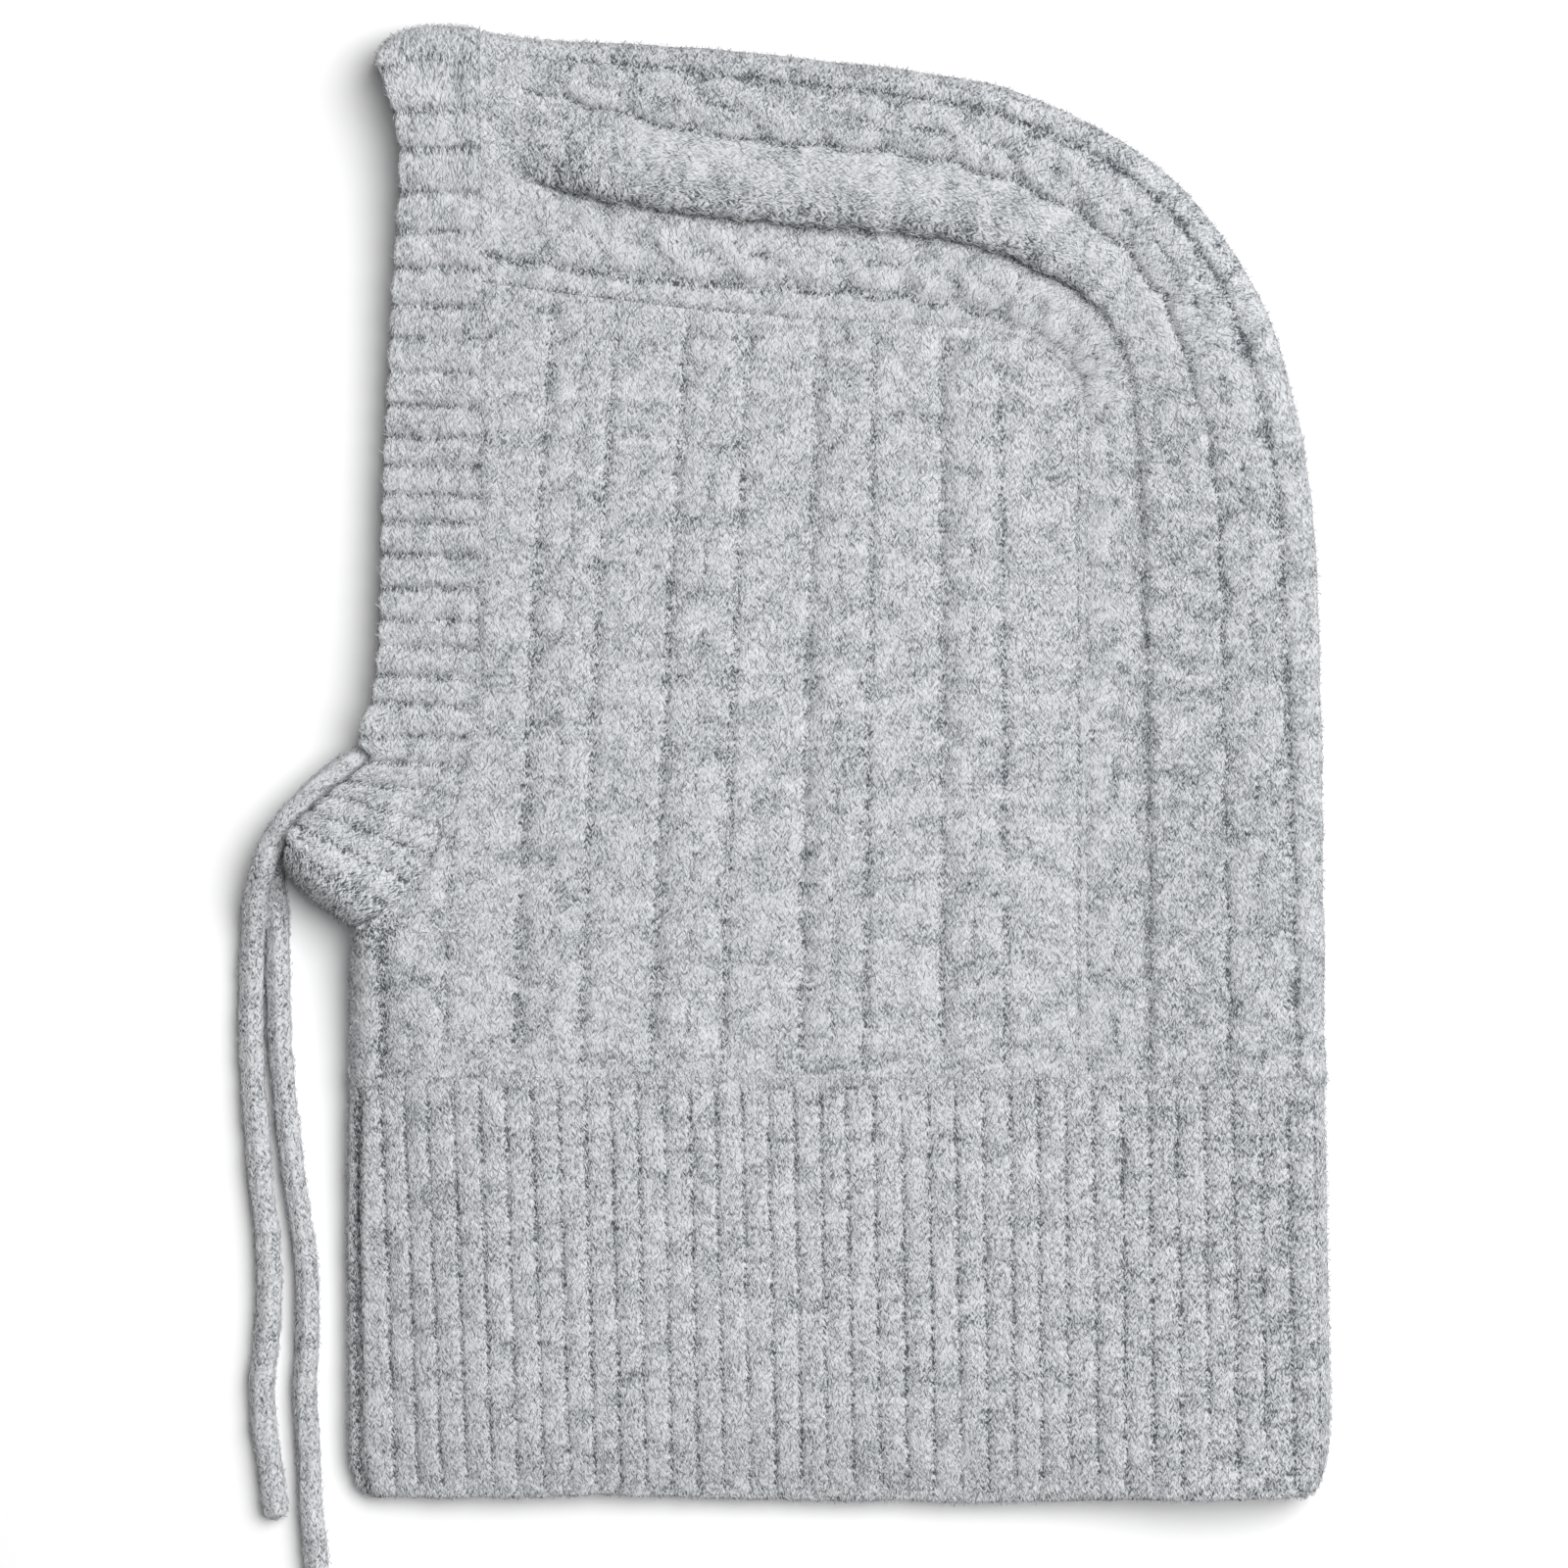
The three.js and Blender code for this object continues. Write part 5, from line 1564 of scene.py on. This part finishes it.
def knit_cord(name, route, extra_radius, wool_material):
    """A round knitted cord: a closed tube with soft columns of stitches along it."""
    around = 32
    step = 0.9
    share = even_shares(route, int(lengths_along(curve_at(route, np.linspace(0, 1, 600)))[-1] / step))
    centre = curve_at(route, share)
    travelled = lengths_along(centre)
    total = travelled[-1]
    ahead = np.gradient(centre, axis=0)
    ahead /= np.linalg.norm(ahead, axis=1, keepdims=True)
    sideways = np.cross(ahead, (0.0, 0.0, 1.0))
    sideways /= np.linalg.norm(sideways, axis=1, keepdims=True)
    above = np.cross(sideways, ahead)
    angle = np.linspace(0, 2 * np.pi, around, endpoint=False)[None, :]
    along = travelled[:, None]
    twist = 0.35 * np.sin(along / 31.0) + along * 0.006
    columns = np.cos(6 * (angle + twist))
    lumps = 0.22 * soft_noise(along + 40, np.cos(angle) * 3 + np.sin(angle) * 2, 4.5, 51)
    radius = CORD_RADIUS - 0.14 + extra_radius + 0.16 * columns + lumps
    to_end = np.clip((total - along) / 2.6, 0, 1)
    radius = radius * np.sqrt(np.clip(1 - (1 - to_end) ** 2, 0.02, 1))
    points = centre[:, None, :] + radius[..., None] * (
        np.cos(angle)[..., None] * sideways[:, None, :] + np.sin(angle)[..., None] * above[:, None, :])
    lift_from_table(points)
    rows = len(centre)
    faces = []
    uv = []
    course = travelled / CORD_COURSE
    wale = CORD_COLUMNS * np.arange(around + 1) / around
    for j in range(rows - 1):
        v0, v1 = course[j], course[j + 1]
        for i in range(around):
            n = (i + 1) % around
            faces.append((j * around + i, j * around + n, (j + 1) * around + n, (j + 1) * around + i))
            u0, u1 = wale[i], wale[i + 1]
            uv.extend([(u0, v0), (u1, v0), (u1, v1), (u0, v1)])
    start, end = rows * around, rows * around + 1
    for i in range(around):
        n = (i + 1) % around
        faces.append((start, n, i))
        faces.append((end, (rows - 1) * around + i, (rows - 1) * around + n))
        u0, u1, last = wale[i], wale[i + 1], course[-1]
        uv.extend([(u0, 0), (u1, 0), (u0, 0), (u0, last), (u0, last), (u1, last)])
    ends = [0, 0]
    # Painted shade between the cord's columns of stitches; elsewhere the cord is drawn a little
    # lighter
    numbers = {
        "shade_and_lines": np.concatenate([np.clip(-columns, 0, 1).ravel() * 0.3 - 0.25, ends]),
        "fuzz": np.concatenate([np.full(rows * around, 0.75), ends]),
        "upright": np.full(rows * around + 2, 0.45),
        "lie": np.vstack([np.repeat(ahead, around, axis=0), ahead[:1], ahead[-1:]]),
    }
    vertices = np.vstack([points.reshape(-1, 3), centre[:1], centre[-1:]])
    piece = closed_mesh(name, vertices, faces, uv, numbers)
    piece.data.materials.append(wool_material)
    return piece, centre * MM, total * MM


# Operators

class LayStage(bpy.types.Operator):
    """Place the camera above the table, the pale floor and the soft light"""
    bl_idname = "balaclava.lay_stage"
    bl_label = "Lay the stage"

    def execute(self, context):
        scene = context.scene
        stage = scene.balaclava_stage
        camera_data = bpy.data.cameras.new("overhead_camera")
        camera_data.sensor_width = 36.0
        camera_data.lens = 36.0 * stage.camera_height / stage.image_width
        camera_data.clip_end = 20
        camera = bpy.data.objects.new("overhead_camera", camera_data)
        camera.location = (stage.centre[0], stage.centre[1], stage.camera_height)
        scene.collection.objects.link(camera)
        scene.camera = camera
        scene.view_settings.view_transform = "Standard"

        floor_mesh = bpy.data.meshes.new("pale_floor")
        reach = 2.5
        corners = [(-reach, -reach), (reach, -reach), (reach, reach), (-reach, reach)]
        floor_mesh.from_pydata([(*corner, -0.0001) for corner in corners], [], [(0, 1, 2, 3)])
        floor = bpy.data.objects.new("pale_floor", floor_mesh)
        floor_mesh.materials.append(seamless_paper(stage))
        scene.collection.objects.link(floor)

        world = bpy.data.worlds.new("even_studio")
        world.use_nodes = True
        background = world.node_tree.nodes["Background"].inputs
        background["Color"].default_value = (1, 1, 1, 1)
        background["Strength"].default_value = stage.sky
        scene.world = world

        light = bpy.data.lights.new("key_softbox", "AREA")
        light.shape = "DISK"
        light.size = stage.key_size
        light.energy = stage.key
        lamp = bpy.data.objects.new("key_softbox", light)
        lamp.location = stage.key_place
        aim = -Vector(stage.key_place)
        lamp.rotation_euler = aim.to_track_quat("-Z", "Y").to_euler()
        scene.collection.objects.link(lamp)
        return {"FINISHED"}


class KnitCords(bpy.types.Operator):
    """Knit the two ends of the drawcord along their routes"""
    bl_idname = "balaclava.knit_cords"
    bl_label = "Knit the drawcord"

    def execute(self, context):
        wool = context.scene.balaclava_wool
        material = brushed_wool_marl("brushed_wool_marl_cord", wool, crisp=1.6)
        root = knit_cord("drawcord_upper_root", CORD_ROOT, 0.3, material)[0]
        root_fibres = raise_fuzz(root, 1.0, 10)
        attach(root, "root")
        ends = (
            ("drawcord_upper", UPPER_CORD, 0.5, 1, (root, root_fibres)),
            ("drawcord_under", UNDER_CORD, 0.3, 2, ()),
        )
        for node, route, extra_radius, seed_step, others in ends:
            piece, path, length = knit_cord(node + "_knit", route, extra_radius, material)
            fibres = raise_fuzz(piece, 1.0, seed_step)
            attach(piece, "root")
            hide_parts(node)
        return {"FINISHED"}


class KnitNeckRib(bpy.types.Operator):
    """Knit the ribbed neck down to its cast-on hem"""
    bl_idname = "balaclava.knit_neck_rib"
    bl_label = "Knit the neck rib"

    def execute(self, context):
        scene = context.scene
        piece = knit_neck_rib(scene.balaclava_relief)
        material = brushed_wool_marl(
            "brushed_wool_marl_rib", scene.balaclava_wool, line_period=4.0, crisp=1.28,
            line_reach=0.6, line_gaps=0.2,
        )
        finish_knit(
            piece, "neck_rib", material, share=0.85, seed_steps=(3, 4, 11))
        return {"FINISHED"}


class KnitHoodBody(bpy.types.Operator):
    """Knit the two side panels with their cabled columns"""
    bl_idname = "balaclava.knit_hood_body"
    bl_label = "Knit the side panels"

    def execute(self, context):
        scene = context.scene
        piece = knit_hood_body(scene.balaclava_relief)
        material = brushed_wool_marl(
            "brushed_wool_marl_side", scene.balaclava_wool, line_period=10.0, line_reach=0.8,
            line_gaps=0.5,
        )
        finish_knit(
            piece, "hood_body", material, share=0.8, seed_steps=(5, 6, 12),
        )
        return {"FINISHED"}


class KnitCrownPanel(bpy.types.Operator):
    """Knit the panel that runs over the crown and down the back"""
    bl_idname = "balaclava.knit_crown_panel"
    bl_label = "Knit the crown panel"

    def execute(self, context):
        scene = context.scene
        piece = knit_crown_panel(scene.balaclava_relief)
        material = brushed_wool_marl(
            "brushed_wool_marl_crown", scene.balaclava_wool, strokes_lie="mixed", crisp=0.8)
        finish_knit(
            piece, "crown_panel", material, share=0.85, seed_steps=(7, 8, 13),
        )
        return {"FINISHED"}


class KnitFaceBand(bpy.types.Operator):
    """Knit the ribbed band round the face opening with its doubled edge"""
    bl_idname = "balaclava.knit_face_band"
    bl_label = "Knit the face band"

    def execute(self, context):
        scene = context.scene
        piece = knit_face_band(scene.balaclava_relief)
        material = brushed_wool_marl(
            "brushed_wool_marl_band", scene.balaclava_wool, line_period=4.0, strokes_lie="across")
        finish_knit(piece, "face_band", material, share=0.9, seed_steps=(9,))
        return {"FINISHED"}


class BalaclavaPanel(bpy.types.Panel):
    """Lists the pieces in the order in which they are made"""
    bl_idname = "VIEW3D_PT_knit_balaclava"
    bl_label = "Knit balaclava"
    bl_space_type = "VIEW_3D"
    bl_region_type = "UI"
    bl_category = "Balaclava"

    def draw(self, context):
        for operator in OPERATORS:
            self.layout.operator(operator.bl_idname)
        for name in SETTINGS:
            group = getattr(context.scene, name)
            box = self.layout.box()
            for key in group.__annotations__:
                box.prop(group, key)


OPERATORS = (LayStage, KnitCords, KnitNeckRib, KnitHoodBody, KnitCrownPanel, KnitFaceBand)
SETTINGS = {
    "balaclava_wool": WoolSettings,
    "balaclava_relief": ReliefSettings,
    "balaclava_fuzz": FuzzSettings,
    "balaclava_stage": StageSettings,
}


def register():
    for settings in SETTINGS.values():
        bpy.utils.register_class(settings)
    for name, settings in SETTINGS.items():
        setattr(bpy.types.Scene, name, PointerProperty(type=settings))
    for operator in OPERATORS:
        bpy.utils.register_class(operator)
    bpy.utils.register_class(BalaclavaPanel)


def unregister():
    bpy.utils.unregister_class(BalaclavaPanel)
    for operator in reversed(OPERATORS):
        bpy.utils.unregister_class(operator)
    for name in SETTINGS:
        delattr(bpy.types.Scene, name)
    for settings in SETTINGS.values():
        bpy.utils.unregister_class(settings)


def main():
    register()
    bpy.ops.balaclava.lay_stage()
    bpy.ops.balaclava.knit_cords()
    bpy.ops.balaclava.knit_neck_rib()
    bpy.ops.balaclava.knit_hood_body()
    bpy.ops.balaclava.knit_crown_panel()
    bpy.ops.balaclava.knit_face_band()


if __name__ == "__main__":
    main()
